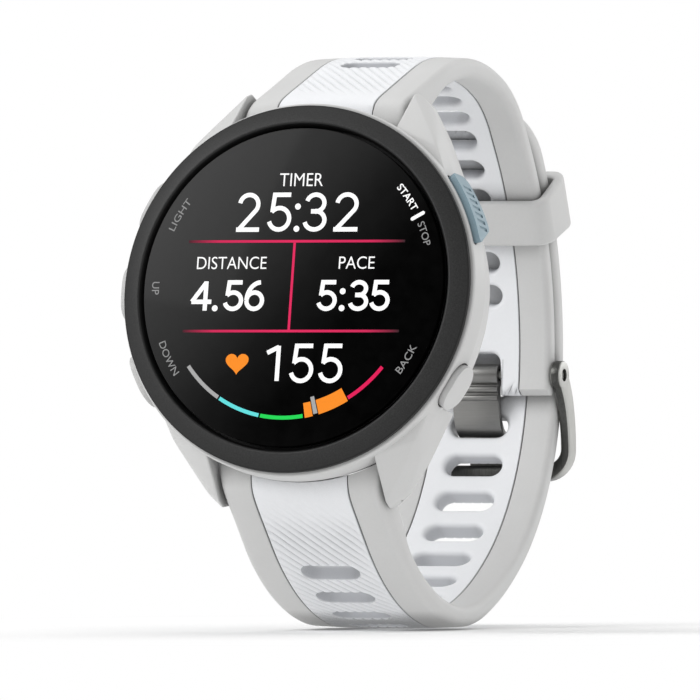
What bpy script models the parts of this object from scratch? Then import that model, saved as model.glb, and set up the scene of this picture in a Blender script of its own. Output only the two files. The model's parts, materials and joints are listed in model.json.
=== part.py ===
"""GPS running watch with its strap buckled: every piece as its own closed solid.

The case is modelled lying on its back: +X is 3 o'clock, +Y is 12 o'clock and +Z is
the face's outward direction, with Z = 0 at the seat of the bezel.  One empty then
stands the watch up on its strap loop, face toward -Y and leaning back a little, with
the origin at the middle of the sensor window, where the watch rests on the wrist.
"""
import math

import bmesh
import bpy
from mathutils import Matrix, Vector

MM = 0.001
GAP = 0.3 * MM                      # clearance between neighbouring pieces

# Pose of the whole watch
LEAN_BACK = math.radians(10.2)      # how far 12 o'clock tips away from the viewer

# Case and display stack, heights measured along the face direction
CASE_RADIUS = 21.9 * MM
CASE_PROFILE = (                                # (radius, level) of the case's tucked-in side
    (CASE_RADIUS, -3.6 * MM),
    (21.4 * MM, -5.6 * MM),
    (20.9 * MM, -7.2 * MM),
    (20.45 * MM, -8.6 * MM),
)
CLEARANCE_FRONT = 5.0 * MM
CLEARANCE_BACK = -15.0 * MM
CASE_WALL = 1.6 * MM
CASE_FRONT = -0.3 * MM
CASE_BACK = -8.6 * MM
BEZEL_RADIUS = 21.5 * MM
BEZEL_TOP = 1.5 * MM
BEZEL_INNER_RADIUS = 18.95 * MM
GLASS_RADIUS = 18.65 * MM
GLASS_TOP = 1.4 * MM
GLASS_THICKNESS = 0.8 * MM
PANEL_RADIUS = 16.6 * MM
PANEL_THICKNESS = 1.0 * MM
SEAT_RADIUS = 17.0 * MM             # inner edge of the shelf that carries the gasket
COVER_THICKNESS = 0.9 * MM
WINDOW_RADIUS = 8.8 * MM
WINDOW_BACK = -10.1 * MM
FLANGE_RADIUS = 15.0 * MM
SCREW_CIRCLE = 18.2 * MM
SCREW_RADIUS = 0.6 * MM
SCREW_HEAD_RADIUS = 1.1 * MM
SCREW_ANGLES = (45, 135, 225, 315)
PIN_PITCH = 1.7 * MM                # charging contacts
PIN_RADIUS = 0.5 * MM

# Buttons: name, clock angle from 3 o'clock, length along the wall, height across it
BUTTONS = (
    ("start_stop_button", 26.3, 9.2 * MM, 4.2 * MM),
    ("back_button", -29.5, 5.5 * MM, 4.2 * MM),
    ("light_button", 152.5, 6.4 * MM, 3.8 * MM),
    ("up_button", 180.0, 6.4 * MM, 3.8 * MM),
    ("down_button", 207.5, 6.4 * MM, 3.8 * MM),
)
BUTTON_LEVEL = -3.1 * MM
BUTTON_PROUD = 0.75 * MM            # cap height above the case wall
BUTTON_TRAVEL = 0.5 * MM
STEM_RADIUS = 0.8 * MM
SWITCH_FACE = 17.6 * MM

# Lugs and spring bars
LUG_INSIDE = 10.4 * MM
BAR_HEIGHT = -7.9 * MM
BAR_DISTANCE = 22.9 * MM
BAR_RADIUS = 0.8 * MM
BAR_BORE = 0.6 * MM
TIP_RADIUS = 0.3 * MM
TIP_REACH = 11.5 * MM
RELEASE_TRAVEL = 1.2 * MM
KNOB_X = 6.2 * MM

# Strap loop: the outer surface in the watch's middle plane, from the 6 o'clock lugs
# around the wrist to the 12 o'clock lugs, as tangent arcs of (length, turn in degrees)
LOOP_START = (3.4 * MM, -22.3 * MM)             # (distance behind the bezel seat, up)
LOOP_HEADING = -36.0
LOOP_ARCS = (
    (10.0 * MM, 0.0),
    (20.4 * MM, 36.0),
    (10.7 * MM, 28.0),
    (12.9 * MM, 17.0),
    (28.1 * MM, 52.0),
    (30.3 * MM, 40.0),
    (3.03 * MM, 0.0),
    (9.6 * MM, 30.0),
    (22.64 * MM, 42.0),
    (13.9 * MM, 0.0),
)
STRAP_THICKNESS = 2.4 * MM
END_THICKNESS = 3.6 * MM            # where the strap wraps the spring bar
END_LENGTH = 6.5 * MM              # full thickness as far as this from the lugs
END_BLEND = 8.0 * MM
STRAP_HALF_WIDTH = 10.05 * MM
STRAP_TAPER = 0.035                 # share of the width lost on the way to the buckle
STRAP_TAPER_LENGTH = 60.0 * MM
CROWN = 0.30 * MM                   # how far the strap's edges fall behind its middle
CORE_HALF_WIDTH = 5.9 * MM
LAYER = STRAP_THICKNESS + GAP       # depth of the buckle strap under the holed strap
ROW = 2.4 * MM
STRAP_FRONT = -4.6 * MM             # height of the strap's blunt front faces
TAIL_END = 115.3 * MM
TIP_LENGTH = 6.0 * MM
BUCKLE_END = 78.1 * MM
SLOT_PITCH = 5.42 * MM
SLOT_FIRST = 14.7 * MM
SLOT_COUNT = 14
SLOT_LENGTH = 7.5 * MM
SLOT_WIDTH = 3.0 * MM
UPPER_SLOT_PITCH = 4.52 * MM
UPPER_SLOT_FIRST = 15.8 * MM
UPPER_SLOT_COUNT = 13
RUN_IN = 4.0 * MM                   # strap drawn past the loop's ends, then trimmed
NOTCH_HALF_WIDTH = 3.3 * MM
NOTCH_END = 83.8 * MM

# Keeper and buckle
KEEPER_AT = 102.2 * MM
KEEPER_LENGTH = 6.5 * MM
KEEPER_WALL = 1.2 * MM
KEEPER_OUTER_WALL = 2.0 * MM
PIN_AT = 80.9 * MM
BUCKLE_PIN_RADIUS = 0.6 * MM
EYE_BORE = 0.9 * MM
EYE_RADIUS = 1.7 * MM
ROLL_RADIUS = 1.35 * MM
ARM_INSIDE = 9.85 * MM
ARM_THICKNESS = 1.2 * MM
FAR_BAR_DOWN = 11.7 * MM            # far bar below the pin, along the strap
FAR_BAR_OUT = 4.0 * MM              # far bar outside the pin
FAR_BAR_RADIUS = 0.95 * MM
ARM_WIDTH = 2.4 * MM
ARM_BOW = (3.9 * MM, -3.4 * MM)    # control point of the arm's curve, (outward, along)
TONGUE_THICKNESS = 0.8 * MM
TONGUE_HALF_WIDTH = 2.9 * MM
# Tongue centre line around the pin: start, control point and end of each curve
TONGUE_SHANK = ((-0.2 * MM, -0.9 * MM), (-0.2 * MM, -5.6 * MM), (1.9 * MM, -6.8 * MM))
TONGUE_TIP = ((2.5 * MM, -7.0 * MM), (5.7 * MM, -7.9 * MM), (6.5 * MM, -11.4 * MM))

CUT = "rubber"                      # finish given to shapes that only cut

for old in list(bpy.data.objects):
    bpy.data.objects.remove(old, do_unlink=True)

parts = bpy.data.collections.new("gps_running_watch")
cutters = bpy.data.collections.new("cutters")
bpy.context.scene.collection.children.link(parts)
bpy.context.scene.collection.children.link(cutters)

stand = bpy.data.objects.new("watch_stand", None)
parts.objects.link(stand)
stand.location = (0.0, WINDOW_BACK * math.cos(LEAN_BACK), -WINDOW_BACK * math.sin(LEAN_BACK))
stand.rotation_euler = (math.pi / 2 - LEAN_BACK, 0.0, 0.0)


# ---------------------------------------------------------------- materials
def material(name, colour, roughness, metallic=0.0):
    made = bpy.data.materials.new(name)
    made.use_nodes = True
    shader = made.node_tree.nodes["Principled BSDF"]
    shader.inputs["Base Color"].default_value = (*colour, 1.0)
    shader.inputs["Roughness"].default_value = roughness
    shader.inputs["Metallic"].default_value = metallic
    return made


MATERIALS = {
    "case_grey": material("case_grey", (0.60, 0.60, 0.59), 0.45),
    "strap_grey": material("strap_grey", (0.60, 0.60, 0.59), 0.55),
    "strap_white": material("strap_white", (0.83, 0.84, 0.86), 0.50),
    "bezel_black": material("bezel_black", (0.045, 0.045, 0.045), 0.55),
    "glass": material("glass", (0.01, 0.01, 0.012), 0.08),
    "panel": material("panel", (0.015, 0.015, 0.015), 0.30),
    "rubber": material("rubber", (0.03, 0.03, 0.03), 0.80),
    "button_blue": material("button_blue", (0.27, 0.37, 0.42), 0.45),
    "steel": material("steel", (0.46, 0.45, 0.43), 0.30, 1.0),
    "gold": material("gold", (0.80, 0.60, 0.25), 0.30, 1.0),
    "board": material("board", (0.02, 0.16, 0.07), 0.50),
    "cell": material("cell", (0.12, 0.13, 0.15), 0.40),
    "copper": material("copper", (0.72, 0.43, 0.28), 0.35, 1.0),
}


# ---------------------------------------------------------------- helpers
def add(name, mesh, finish, parent=stand):
    """Put a mesh in the parts collection as one named piece."""
    piece = bpy.data.objects.new(name, mesh)
    parts.objects.link(piece)
    piece.parent = parent
    piece.data.materials.clear()
    piece.data.materials.append(MATERIALS[finish])
    return piece


def as_cutter(piece):
    """Move a piece to the cutters, where it only shapes others."""
    parts.objects.unlink(piece)
    cutters.objects.link(piece)
    piece.hide_render = True
    piece.display_type = "WIRE"
    return piece


def combine(piece, other, operation):
    """Join a shape to a piece, or cut it away, with an exact Boolean."""
    modifier = piece.modifiers.new(operation.lower(), "BOOLEAN")
    modifier.object = as_cutter(other)
    modifier.operation = operation
    modifier.solver = "EXACT"


def cut_with(piece, other):
    """Cut with a shape that is already among the cutters."""
    modifier = piece.modifiers.new("cut", "BOOLEAN")
    modifier.object = other
    modifier.operation = "DIFFERENCE"
    modifier.solver = "EXACT"


def smooth(mesh, degrees=35):
    mesh.shade_smooth()
    mesh.set_sharp_from_angle(angle=math.radians(degrees))


def bevel(piece, width, segments=2, degrees=40):
    modifier = piece.modifiers.new("edge", "BEVEL")
    modifier.width = width
    modifier.segments = segments
    modifier.limit_method = "ANGLE"
    modifier.angle_limit = math.radians(degrees)


def face_outward(mesh, weld=0.0):
    """Weld loose caps where asked, and turn every face of a closed mesh outwards."""
    shape = bmesh.new()
    shape.from_mesh(mesh)
    if weld:
        bmesh.ops.remove_doubles(shape, verts=shape.verts, dist=weld)
    bmesh.ops.recalc_face_normals(shape, faces=shape.faces)
    shape.to_mesh(mesh)
    shape.free()


def finished_mesh(piece):
    """The piece's mesh with its modifiers applied; the piece itself is removed."""
    bpy.context.view_layer.update()
    evaluated = piece.evaluated_get(bpy.context.evaluated_depsgraph_get())
    mesh = bpy.data.meshes.new_from_object(evaluated)
    bpy.data.objects.remove(piece, do_unlink=True)
    return mesh


def cylinder(name, radius, depth, finish, segments=32, top_radius=None):
    """A closed cylinder or cone about Z, centred on its origin."""
    mesh = bpy.data.meshes.new(name)
    shape = bmesh.new()
    bmesh.ops.create_cone(
        shape, cap_ends=True, segments=segments, radius1=radius,
        radius2=radius if top_radius is None else top_radius, depth=depth)
    shape.to_mesh(mesh)
    shape.free()
    smooth(mesh)
    return add(name, mesh, finish)


def cross_rod(name, radius, x_from, x_to, up, height, finish, segments=16):
    """A cylinder along X between two sides of the watch."""
    rod = cylinder(name, radius, x_to - x_from, finish, segments)
    rod.rotation_euler = (0.0, math.pi / 2, 0.0)
    rod.location = ((x_from + x_to) / 2, up, height)
    return rod


def block(name, size, centre, finish):
    """A closed box with its sides along the axes."""
    mesh = bpy.data.meshes.new(name)
    shape = bmesh.new()
    bmesh.ops.create_cube(shape, size=1.0)
    bmesh.ops.scale(shape, vec=size, verts=shape.verts)
    shape.to_mesh(mesh)
    shape.free()
    piece = add(name, mesh, finish)
    piece.location = centre
    return piece


def turned(name, profile, finish, steps=64):
    """A closed (radius, height) profile spun about Z, its outer side listed downwards."""
    mesh = bpy.data.meshes.new(name)
    shape = bmesh.new()
    points = [shape.verts.new((radius, 0.0, height)) for radius, height in profile]
    for first, second in zip(points, points[1:]):
        shape.edges.new((first, second))
    if profile[0][0] > 0.0:
        shape.edges.new((points[-1], points[0]))
    shape.to_mesh(mesh)
    shape.free()
    piece = add(name, mesh, finish)
    screw = piece.modifiers.new("spin", "SCREW")
    screw.steps = steps
    screw.render_steps = steps
    screw.use_merge_vertices = True
    screw.merge_threshold = 0.000001
    mesh = finished_mesh(piece)
    face_outward(mesh)
    smooth(mesh)
    return add(name, mesh, finish)


def stadium(name, length, width, depth, finish, segments=16):
    """A slab with round ends: length along X, width along Y, centred on its origin."""
    mesh = bpy.data.meshes.new(name)
    shape = bmesh.new()
    bmesh.ops.create_cone(
        shape, cap_ends=True, segments=segments,
        radius1=width / 2, radius2=width / 2, depth=depth)
    half_step = Matrix.Rotation(math.pi / segments, 3, "Z")
    bmesh.ops.rotate(shape, cent=(0.0, 0.0, 0.0), matrix=half_step, verts=shape.verts)
    for vertex in shape.verts:
        vertex.co.x += math.copysign((length - width) / 2, vertex.co.x)
    shape.to_mesh(mesh)
    shape.free()
    smooth(mesh)
    return add(name, mesh, finish)


def plate(name, outlines, thickness, finish):
    """Closed 2D outlines in the XY plane, the first one filled and the others holes."""
    curve = bpy.data.curves.new(name, "CURVE")
    curve.dimensions = "2D"
    curve.fill_mode = "BOTH"
    curve.extrude = thickness / 2
    for outline in outlines:
        spline = curve.splines.new("POLY")
        spline.points.add(len(outline) - 1)
        for point, (across, along) in zip(spline.points, outline):
            point.co = (across, along, 0.0, 1.0)
        spline.use_cyclic_u = True
    source = bpy.data.objects.new(name, curve)
    parts.objects.link(source)
    mesh = finished_mesh(source)
    face_outward(mesh, 0.000001)
    smooth(mesh)
    return add(name, mesh, finish)


def hull(name, corners, finish):
    """The convex solid around a set of corners."""
    mesh = bpy.data.meshes.new(name)
    shape = bmesh.new()
    for corner in corners:
        shape.verts.new(corner)
    made = bmesh.ops.convex_hull(shape, input=shape.verts)
    loose = [item for item in made["geom_unused"] if isinstance(item, bmesh.types.BMVert)]
    bmesh.ops.delete(shape, geom=loose, context="VERTS")
    bmesh.ops.recalc_face_normals(shape, faces=shape.faces)
    shape.to_mesh(mesh)
    shape.free()
    return add(name, mesh, finish)


# ---------------------------------------------------------------- the strap's path
def loop_length():
    return sum(length for length, _ in LOOP_ARCS)


def loop_frame(distance):
    """(back, up, heading) of the loop's outer surface after a distance along it."""
    back, up = LOOP_START
    heading = math.radians(LOOP_HEADING)
    left = distance
    for index, (length, turn) in enumerate(LOOP_ARCS):
        last = index == len(LOOP_ARCS) - 1
        step = left if last or left < length else length
        bend_angle = math.radians(turn) * step / length
        if abs(turn) < 0.001:
            back += step * math.cos(heading)
            up += step * math.sin(heading)
        else:
            radius = length / math.radians(turn)
            back += radius * (math.sin(heading + bend_angle) - math.sin(heading))
            up += radius * (math.cos(heading) - math.cos(heading + bend_angle))
        heading += bend_angle
        left -= step
        if left <= 0.0:
            break
    return back, up, heading


def loop_point(across, distance, depth):
    """Case coordinates of a point that lies `depth` inside the loop's outer surface."""
    back, up, heading = loop_frame(distance)
    back -= depth * math.sin(heading)
    up += depth * math.cos(heading)
    return Vector((across, up, -back))


def from_lug(distance, upper):
    """Distance along the strap from the lugs that carry it."""
    return loop_length() - distance if upper else distance


def width_scale(distance, upper):
    share = min(max(from_lug(distance, upper) / STRAP_TAPER_LENGTH, 0.0), 1.0)
    scale = 1.0 - STRAP_TAPER * share
    if not upper and distance > TAIL_END - TIP_LENGTH:
        into_tip = (distance - TAIL_END + TIP_LENGTH) / TIP_LENGTH
        scale *= 1.0 - 0.35 * (1.0 - math.sqrt(max(1.0 - into_tip ** 2, 0.0)))
    return scale


def thickness_at(distance, upper):
    past_end = (from_lug(distance, upper) - END_LENGTH) / END_BLEND
    share = 1.0 - min(max(past_end, 0.0), 1.0)
    return STRAP_THICKNESS + (END_THICKNESS - STRAP_THICKNESS) * share * share * (3 - 2 * share)


def bend(mesh, upper):
    """Wrap a flat strip (X across, Y along, Z from 0 outside to -1 inside) on the loop."""
    for vertex in mesh.vertices:
        across, distance, level = vertex.co
        depth = -level * thickness_at(distance, upper) / MM
        if upper:
            depth += LAYER
        across *= width_scale(distance, upper)
        depth += CROWN * (across / STRAP_HALF_WIDTH) ** 2
        vertex.co = loop_point(across, distance, depth)


def strip(name, x_from, x_to, y_from, y_to, columns, finish):
    """A flat strip in rows, 1 mm thick before it is bent and given its thickness."""
    mesh = bpy.data.meshes.new(name)
    shape = bmesh.new()
    rows = max(2, round((y_to - y_from) / ROW))
    bmesh.ops.create_grid(shape, x_segments=columns, y_segments=rows, size=0.5)
    bmesh.ops.scale(shape, vec=(x_to - x_from, y_to - y_from, 1.0), verts=shape.verts)
    middle = ((x_from + x_to) / 2, (y_from + y_to) / 2, 0.0)
    bmesh.ops.translate(shape, vec=middle, verts=shape.verts)
    shape.to_mesh(mesh)
    shape.free()
    piece = add(name, mesh, finish, None)
    solidify = piece.modifiers.new("thickness", "SOLIDIFY")
    solidify.thickness = MM
    solidify.offset = -1.0
    return piece


def slots(name, count, first, pitch):
    """A row of round-ended slot cutters for a flat strip."""
    single = stadium(name, SLOT_LENGTH, SLOT_WIDTH, 4 * MM, CUT, 12)
    mesh = single.data
    row = bmesh.new()
    for index in range(count):
        start = len(row.verts)
        row.from_mesh(mesh)
        row.verts.ensure_lookup_table()
        bmesh.ops.translate(
            row, vec=(0.0, first + index * pitch, 0.0), verts=row.verts[start:])
    row.to_mesh(mesh)
    row.free()
    single.parent = None
    return single


def trim_to_case(piece, upper):
    """Blunt the strap's end against the round case and bore it for the spring bar."""
    cut_with(piece, case_clearance)
    cut_with(piece, front_clearance)
    cut_with(piece, upper_bore if upper else lower_bore)


# ---------------------------------------------------------------- case and display
def make_bezel():
    return turned("bezel_ring", (
        (BEZEL_RADIUS, 0.35 * MM),
        (BEZEL_RADIUS, 0.0),
        (20.0 * MM, 0.0),
        (20.0 * MM, -1.2 * MM),
        (SEAT_RADIUS, -1.2 * MM),
        (SEAT_RADIUS, -0.4 * MM),
        (BEZEL_INNER_RADIUS, -0.4 * MM),
        (BEZEL_INNER_RADIUS, BEZEL_TOP),
        (BEZEL_INNER_RADIUS + 0.3 * MM, BEZEL_TOP),
        (BEZEL_RADIUS - 0.15 * MM, 0.5 * MM),
    ), "bezel_black", 56)


def make_display():
    glass = cylinder("display_glass", GLASS_RADIUS, GLASS_THICKNESS, "glass", 56)
    glass.location.z = GLASS_TOP - GLASS_THICKNESS / 2
    panel = cylinder("display_panel", PANEL_RADIUS, PANEL_THICKNESS, "panel", 48)
    panel.location.z = GLASS_TOP - GLASS_THICKNESS - GAP - PANEL_THICKNESS / 2
    turned("display_gasket", (
        (18.6 * MM, 0.3 * MM),
        (18.6 * MM, -0.1 * MM),
        (17.1 * MM, -0.1 * MM),
        (17.1 * MM, 0.3 * MM),
    ), "rubber", 40)


def lug_corners(side, end):
    """Corners of one lug: side is +1 at 3 o'clock, end is +1 at 12 o'clock."""
    inner = [(LUG_INSIDE, up, height) for up, height in (
        (18.1 * MM, -0.9 * MM), (19.2 * MM, -1.1 * MM), (24.0 * MM, -5.7 * MM),
        (24.5 * MM, -7.0 * MM), (24.0 * MM, -9.0 * MM), (18.1 * MM, -9.0 * MM))]
    outer = [
        (17.2 * MM, 13.0 * MM, -1.4 * MM), (17.2 * MM, 13.0 * MM, -8.2 * MM),
        (15.2 * MM, 17.3 * MM, -2.2 * MM), (14.7 * MM, 19.0 * MM, -5.0 * MM),
        (14.4 * MM, 19.0 * MM, -8.6 * MM), (13.6 * MM, 20.9 * MM, -6.2 * MM),
        (12.5 * MM, 22.7 * MM, -7.1 * MM), (12.3 * MM, 22.5 * MM, -8.6 * MM)]
    return [(side * x, end * up, height) for x, up, height in inner + outer]


def make_case():
    body = turned("case_body", (
        (21.6 * MM, CASE_FRONT),
        (CASE_RADIUS, -0.6 * MM),
        *CASE_PROFILE,
        (20.2 * MM, CASE_BACK),
        (20.2 * MM, -7.2 * MM),
        (FLANGE_RADIUS, -7.2 * MM),
        (FLANGE_RADIUS, -6.2 * MM),
        (CASE_RADIUS - CASE_WALL, -6.2 * MM),
        (CASE_RADIUS - CASE_WALL, CASE_FRONT),
    ), "case_grey", 56)
    for side in (1, -1):
        for end in (1, -1):
            lug = hull("lug", lug_corners(side, end), "case_grey")
            bevel(lug, 0.4 * MM, 1, 30)
            combine(body, lug, "UNION")
    groove = turned("seal_groove", (
        (17.0 * MM, -6.7 * MM),
        (17.0 * MM, -7.4 * MM),
        (15.9 * MM, -7.4 * MM),
        (15.9 * MM, -6.7 * MM),
    ), CUT, 36)
    combine(body, groove, "DIFFERENCE")
    for angle in SCREW_ANGLES:
        hole = cylinder("screw_hole", SCREW_RADIUS + GAP, 6.0 * MM, CUT, 16)
        hole.location = Matrix.Rotation(math.radians(angle), 3, "Z") @ Vector(
            (SCREW_CIRCLE, 0.0, -7.0 * MM))
        combine(body, hole, "DIFFERENCE")
    for end in (1, -1):
        tips = cross_rod(
            "bar_sockets", TIP_RADIUS + GAP, -12.0 * MM, 12.0 * MM,
            end * BAR_DISTANCE, BAR_HEIGHT, CUT)
        combine(body, tips, "DIFFERENCE")
    return body


def make_back():
    cover = cylinder("back_cover", 19.9 * MM, COVER_THICKNESS, "case_grey", 48)
    cover.location.z = CASE_BACK + COVER_THICKNESS / 2 - 0.2 * MM
    opening = cylinder("window_opening", WINDOW_RADIUS + GAP, 4 * MM, CUT, 36)
    opening.location.z = CASE_BACK
    combine(cover, opening, "DIFFERENCE")
    turned("back_gasket", [
        (16.45 * MM + 0.33 * MM * math.sin(math.radians(30 + 60 * corner)),
         -7.15 * MM + 0.33 * MM * math.cos(math.radians(30 + 60 * corner)))
        for corner in range(6)], "rubber", 36)
    turned("sensor_window", (
        (0.0, WINDOW_BACK + 2.3 * MM),
        (WINDOW_RADIUS, WINDOW_BACK + 2.3 * MM),
        (WINDOW_RADIUS, WINDOW_BACK + 0.8 * MM),
        (8.2 * MM, WINDOW_BACK + 0.25 * MM),
        (6.5 * MM, WINDOW_BACK),
        (0.0, WINDOW_BACK),
    ), "glass", 36)
    board = cylinder("sensor_board", 8.0 * MM, 0.7 * MM, "board", 24)
    board.location.z = WINDOW_BACK + 2.3 * MM + GAP + 0.35 * MM
    for number, angle in enumerate(SCREW_ANGLES, 1):
        spot = Matrix.Rotation(math.radians(angle), 3, "Z") @ Vector((SCREW_CIRCLE, 0.0, 0.0))
        head = cylinder(f"back_screw_{number}", SCREW_HEAD_RADIUS, 0.5 * MM, "steel", 16)
        head.location = spot + Vector((0.0, 0.0, CASE_BACK + 0.1 * MM))
        shank = cylinder("shank", SCREW_RADIUS, 3.4 * MM, "steel", 12)
        shank.location = spot + Vector((0.0, 0.0, CASE_BACK + 1.9 * MM))
        combine(head, shank, "UNION")
        seat = cylinder("screw_seat", SCREW_HEAD_RADIUS + GAP, 2.0 * MM, CUT, 16)
        seat.location = spot + Vector((0.0, 0.0, CASE_BACK - 0.45 * MM - GAP + 0.1 * MM))
        hole = cylinder("cover_hole", SCREW_RADIUS + GAP, 4.0 * MM, CUT, 12)
        hole.location = spot + Vector((0.0, 0.0, CASE_BACK))
        combine(cover, seat, "DIFFERENCE")
        combine(cover, hole, "DIFFERENCE")
    for number in range(4):
        x = (number - 1.5) * PIN_PITCH
        contact = cylinder(f"charge_contact_{number + 1}", PIN_RADIUS, 1.6 * MM, "gold", 12)
        contact.location = (x, -12.6 * MM, CASE_BACK + 0.6 * MM)
        hole = cylinder("contact_hole", PIN_RADIUS + GAP, 4.0 * MM, CUT, 12)
        hole.location = (x, -12.6 * MM, CASE_BACK)
        combine(cover, hole, "DIFFERENCE")


def make_inside():
    board = cylinder("main_board", 15.8 * MM, 0.8 * MM, "board", 40)
    board.location.z = -2.0 * MM
    block("battery", (19.0 * MM, 17.0 * MM, 3.0 * MM), (0.0, 1.0 * MM, -4.3 * MM), "cell")
    motor = cylinder("vibration_motor", 3.5 * MM, 2.2 * MM, "steel", 24)
    motor.location = (4.4 * MM, -12.0 * MM, -4.0 * MM)
    beeper = cylinder("beeper", 3.6 * MM, 1.4 * MM, "copper", 24)
    beeper.location = (-4.4 * MM, -12.0 * MM, -3.6 * MM)
    turned("gps_antenna", (
        (19.0 * MM, -1.3 * MM),
        (19.0 * MM, -1.8 * MM),
        (17.4 * MM, -1.8 * MM),
        (17.4 * MM, -1.3 * MM),
    ), "copper", 36)


# ---------------------------------------------------------------- buttons
def make_button(name, angle, length, width, body):
    """A cap outside the wall, a stem through it, its seal ring and its switch."""
    hinge = bpy.data.objects.new(name + "_axis", None)
    parts.objects.link(hinge)
    hinge.parent = stand
    hinge.location.z = BUTTON_LEVEL
    hinge.rotation_euler = (0.0, 0.0, math.radians(angle))
    outward = (math.pi / 2, 0.0, math.pi / 2)

    def aim(piece, radius):
        piece.parent = hinge
        piece.rotation_euler = outward
        piece.location = (radius, 0.0, 0.0)

    finish = "button_blue" if name == "start_stop_button" else "case_grey"
    pocket_floor = CASE_RADIUS - 0.9 * MM
    sunk = pocket_floor + GAP + BUTTON_TRAVEL
    top = CASE_RADIUS + BUTTON_PROUD
    cap = stadium(name, length, width, top - sunk, finish)
    aim(cap, (top + sunk) / 2)
    bevel(cap, 0.35 * MM, 1)
    stem_start = SWITCH_FACE + 0.1 * MM + BUTTON_TRAVEL
    stem = cylinder("stem", STEM_RADIUS, sunk + 0.3 * MM - stem_start, finish, 16)
    aim(stem, (sunk + 0.3 * MM + stem_start) / 2)
    combine(cap, stem, "UNION")

    pocket = stadium("pocket", length + 2 * GAP, width + 2 * GAP, 3.0 * MM, CUT)
    aim(pocket, pocket_floor + 1.5 * MM)
    combine(body, pocket, "DIFFERENCE")
    bore = cylinder("stem_bore", STEM_RADIUS + GAP, 6.0 * MM, CUT, 16)
    aim(bore, CASE_RADIUS - 2.0 * MM)
    combine(body, bore, "DIFFERENCE")

    seal = turned(f"{name}_seal", (
        (1.6 * MM, 0.25 * MM),
        (1.6 * MM, -0.25 * MM),
        (STEM_RADIUS + 0.12 * MM, -0.25 * MM),
        (STEM_RADIUS + 0.12 * MM, 0.25 * MM),
    ), "rubber", 16)
    aim(seal, CASE_RADIUS - CASE_WALL - GAP - 0.3 * MM)
    switch = block(
        f"{name}_switch", (2.6 * MM, 1.8 * MM, 1.4 * MM), (0, 0, 0), "steel")
    aim(switch, SWITCH_FACE - 0.7 * MM)


# ---------------------------------------------------------------- spring bars
def make_bar(label, end):
    """Quick-release bar: a barrel with one fixed tip, and a sliding tip with its knob."""
    up = end * BAR_DISTANCE
    half = 9.6 * MM
    barrel = cross_rod(
        f"{label}_spring_bar", BAR_RADIUS, -half, half, up, BAR_HEIGHT, "steel", 20)
    tip = cross_rod("tip", TIP_RADIUS, -TIP_REACH, -half + MM, up, BAR_HEIGHT, "steel", 12)
    combine(barrel, tip, "UNION")
    bore = cross_rod(
        "barrel_bore", BAR_BORE, 2.0 * MM, half + MM, up, BAR_HEIGHT, CUT, 20)
    combine(barrel, bore, "DIFFERENCE")
    window = block(
        "barrel_window", (RELEASE_TRAVEL + 1.4 * MM, 1.2 * MM, 2.0 * MM),
        (KNOB_X - RELEASE_TRAVEL / 2, up, BAR_HEIGHT - 1.0 * MM), CUT)
    combine(barrel, window, "DIFFERENCE")
    pin = cross_rod(
        f"{label}_release_pin", TIP_RADIUS, KNOB_X - 1.2 * MM, TIP_REACH,
        up, BAR_HEIGHT, "steel", 12)
    neck = cylinder("neck", 0.3 * MM, 2.4 * MM, "steel", 12)
    neck.location = (KNOB_X, up, BAR_HEIGHT - 1.2 * MM)
    combine(pin, neck, "UNION")
    knob = cylinder("knob", 0.75 * MM, 0.7 * MM, "steel", 16)
    knob.location = (KNOB_X, up, BAR_HEIGHT - 2.6 * MM)
    combine(pin, knob, "UNION")


# ---------------------------------------------------------------- straps
def make_strap(label, upper):
    """A white core between two grey rails, bent on the loop and trimmed at the lugs."""
    y_from = BUCKLE_END if upper else -RUN_IN
    y_to = loop_length() + RUN_IN if upper else TAIL_END
    core = strip("flat_core", -CORE_HALF_WIDTH, CORE_HALF_WIDTH, y_from, y_to, 4, "strap_white")
    if upper:
        first = loop_length() - UPPER_SLOT_FIRST - (UPPER_SLOT_COUNT - 1) * UPPER_SLOT_PITCH
        row = slots("upper_slots", UPPER_SLOT_COUNT, first, UPPER_SLOT_PITCH)
        notch = block(
            "tongue_notch", (2 * NOTCH_HALF_WIDTH, 2 * (NOTCH_END - BUCKLE_END), 6 * MM),
            (0.0, BUCKLE_END, 0.0), CUT)
        notch.parent = None
        combine(core, notch, "DIFFERENCE")
    else:
        row = slots("lower_slots", SLOT_COUNT, SLOT_FIRST, SLOT_PITCH)
    combine(core, row, "DIFFERENCE")
    mesh = finished_mesh(core)
    bend(mesh, upper)
    smooth(mesh)
    pieces = [add(f"{label}_strap_core", mesh, "strap_white")]
    for side, word in ((1, "right"), (-1, "left")):
        edges = sorted((side * (CORE_HALF_WIDTH + GAP), side * STRAP_HALF_WIDTH))
        rail = strip("flat_rail", *edges, y_from, y_to, 1, "strap_grey")
        mesh = finished_mesh(rail)
        bend(mesh, upper)
        round_long_edges(mesh, side)
        smooth(mesh)
        pieces.append(add(f"{label}_strap_rail_{word}", mesh, "strap_grey"))
    for piece in pieces:
        trim_to_case(piece, upper)
        if upper:
            cut_with(piece, pin_bore)
    window = block(
        "knob_window", (RELEASE_TRAVEL + 2.6 * MM, 2.4 * MM, 4.0 * MM),
        (KNOB_X - RELEASE_TRAVEL / 2, (1 if upper else -1) * BAR_DISTANCE,
         BAR_HEIGHT - 2.0 * MM), CUT)
    as_cutter(window)
    cut_with(pieces[0], window)
    cut_with(pieces[1], window)


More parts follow.
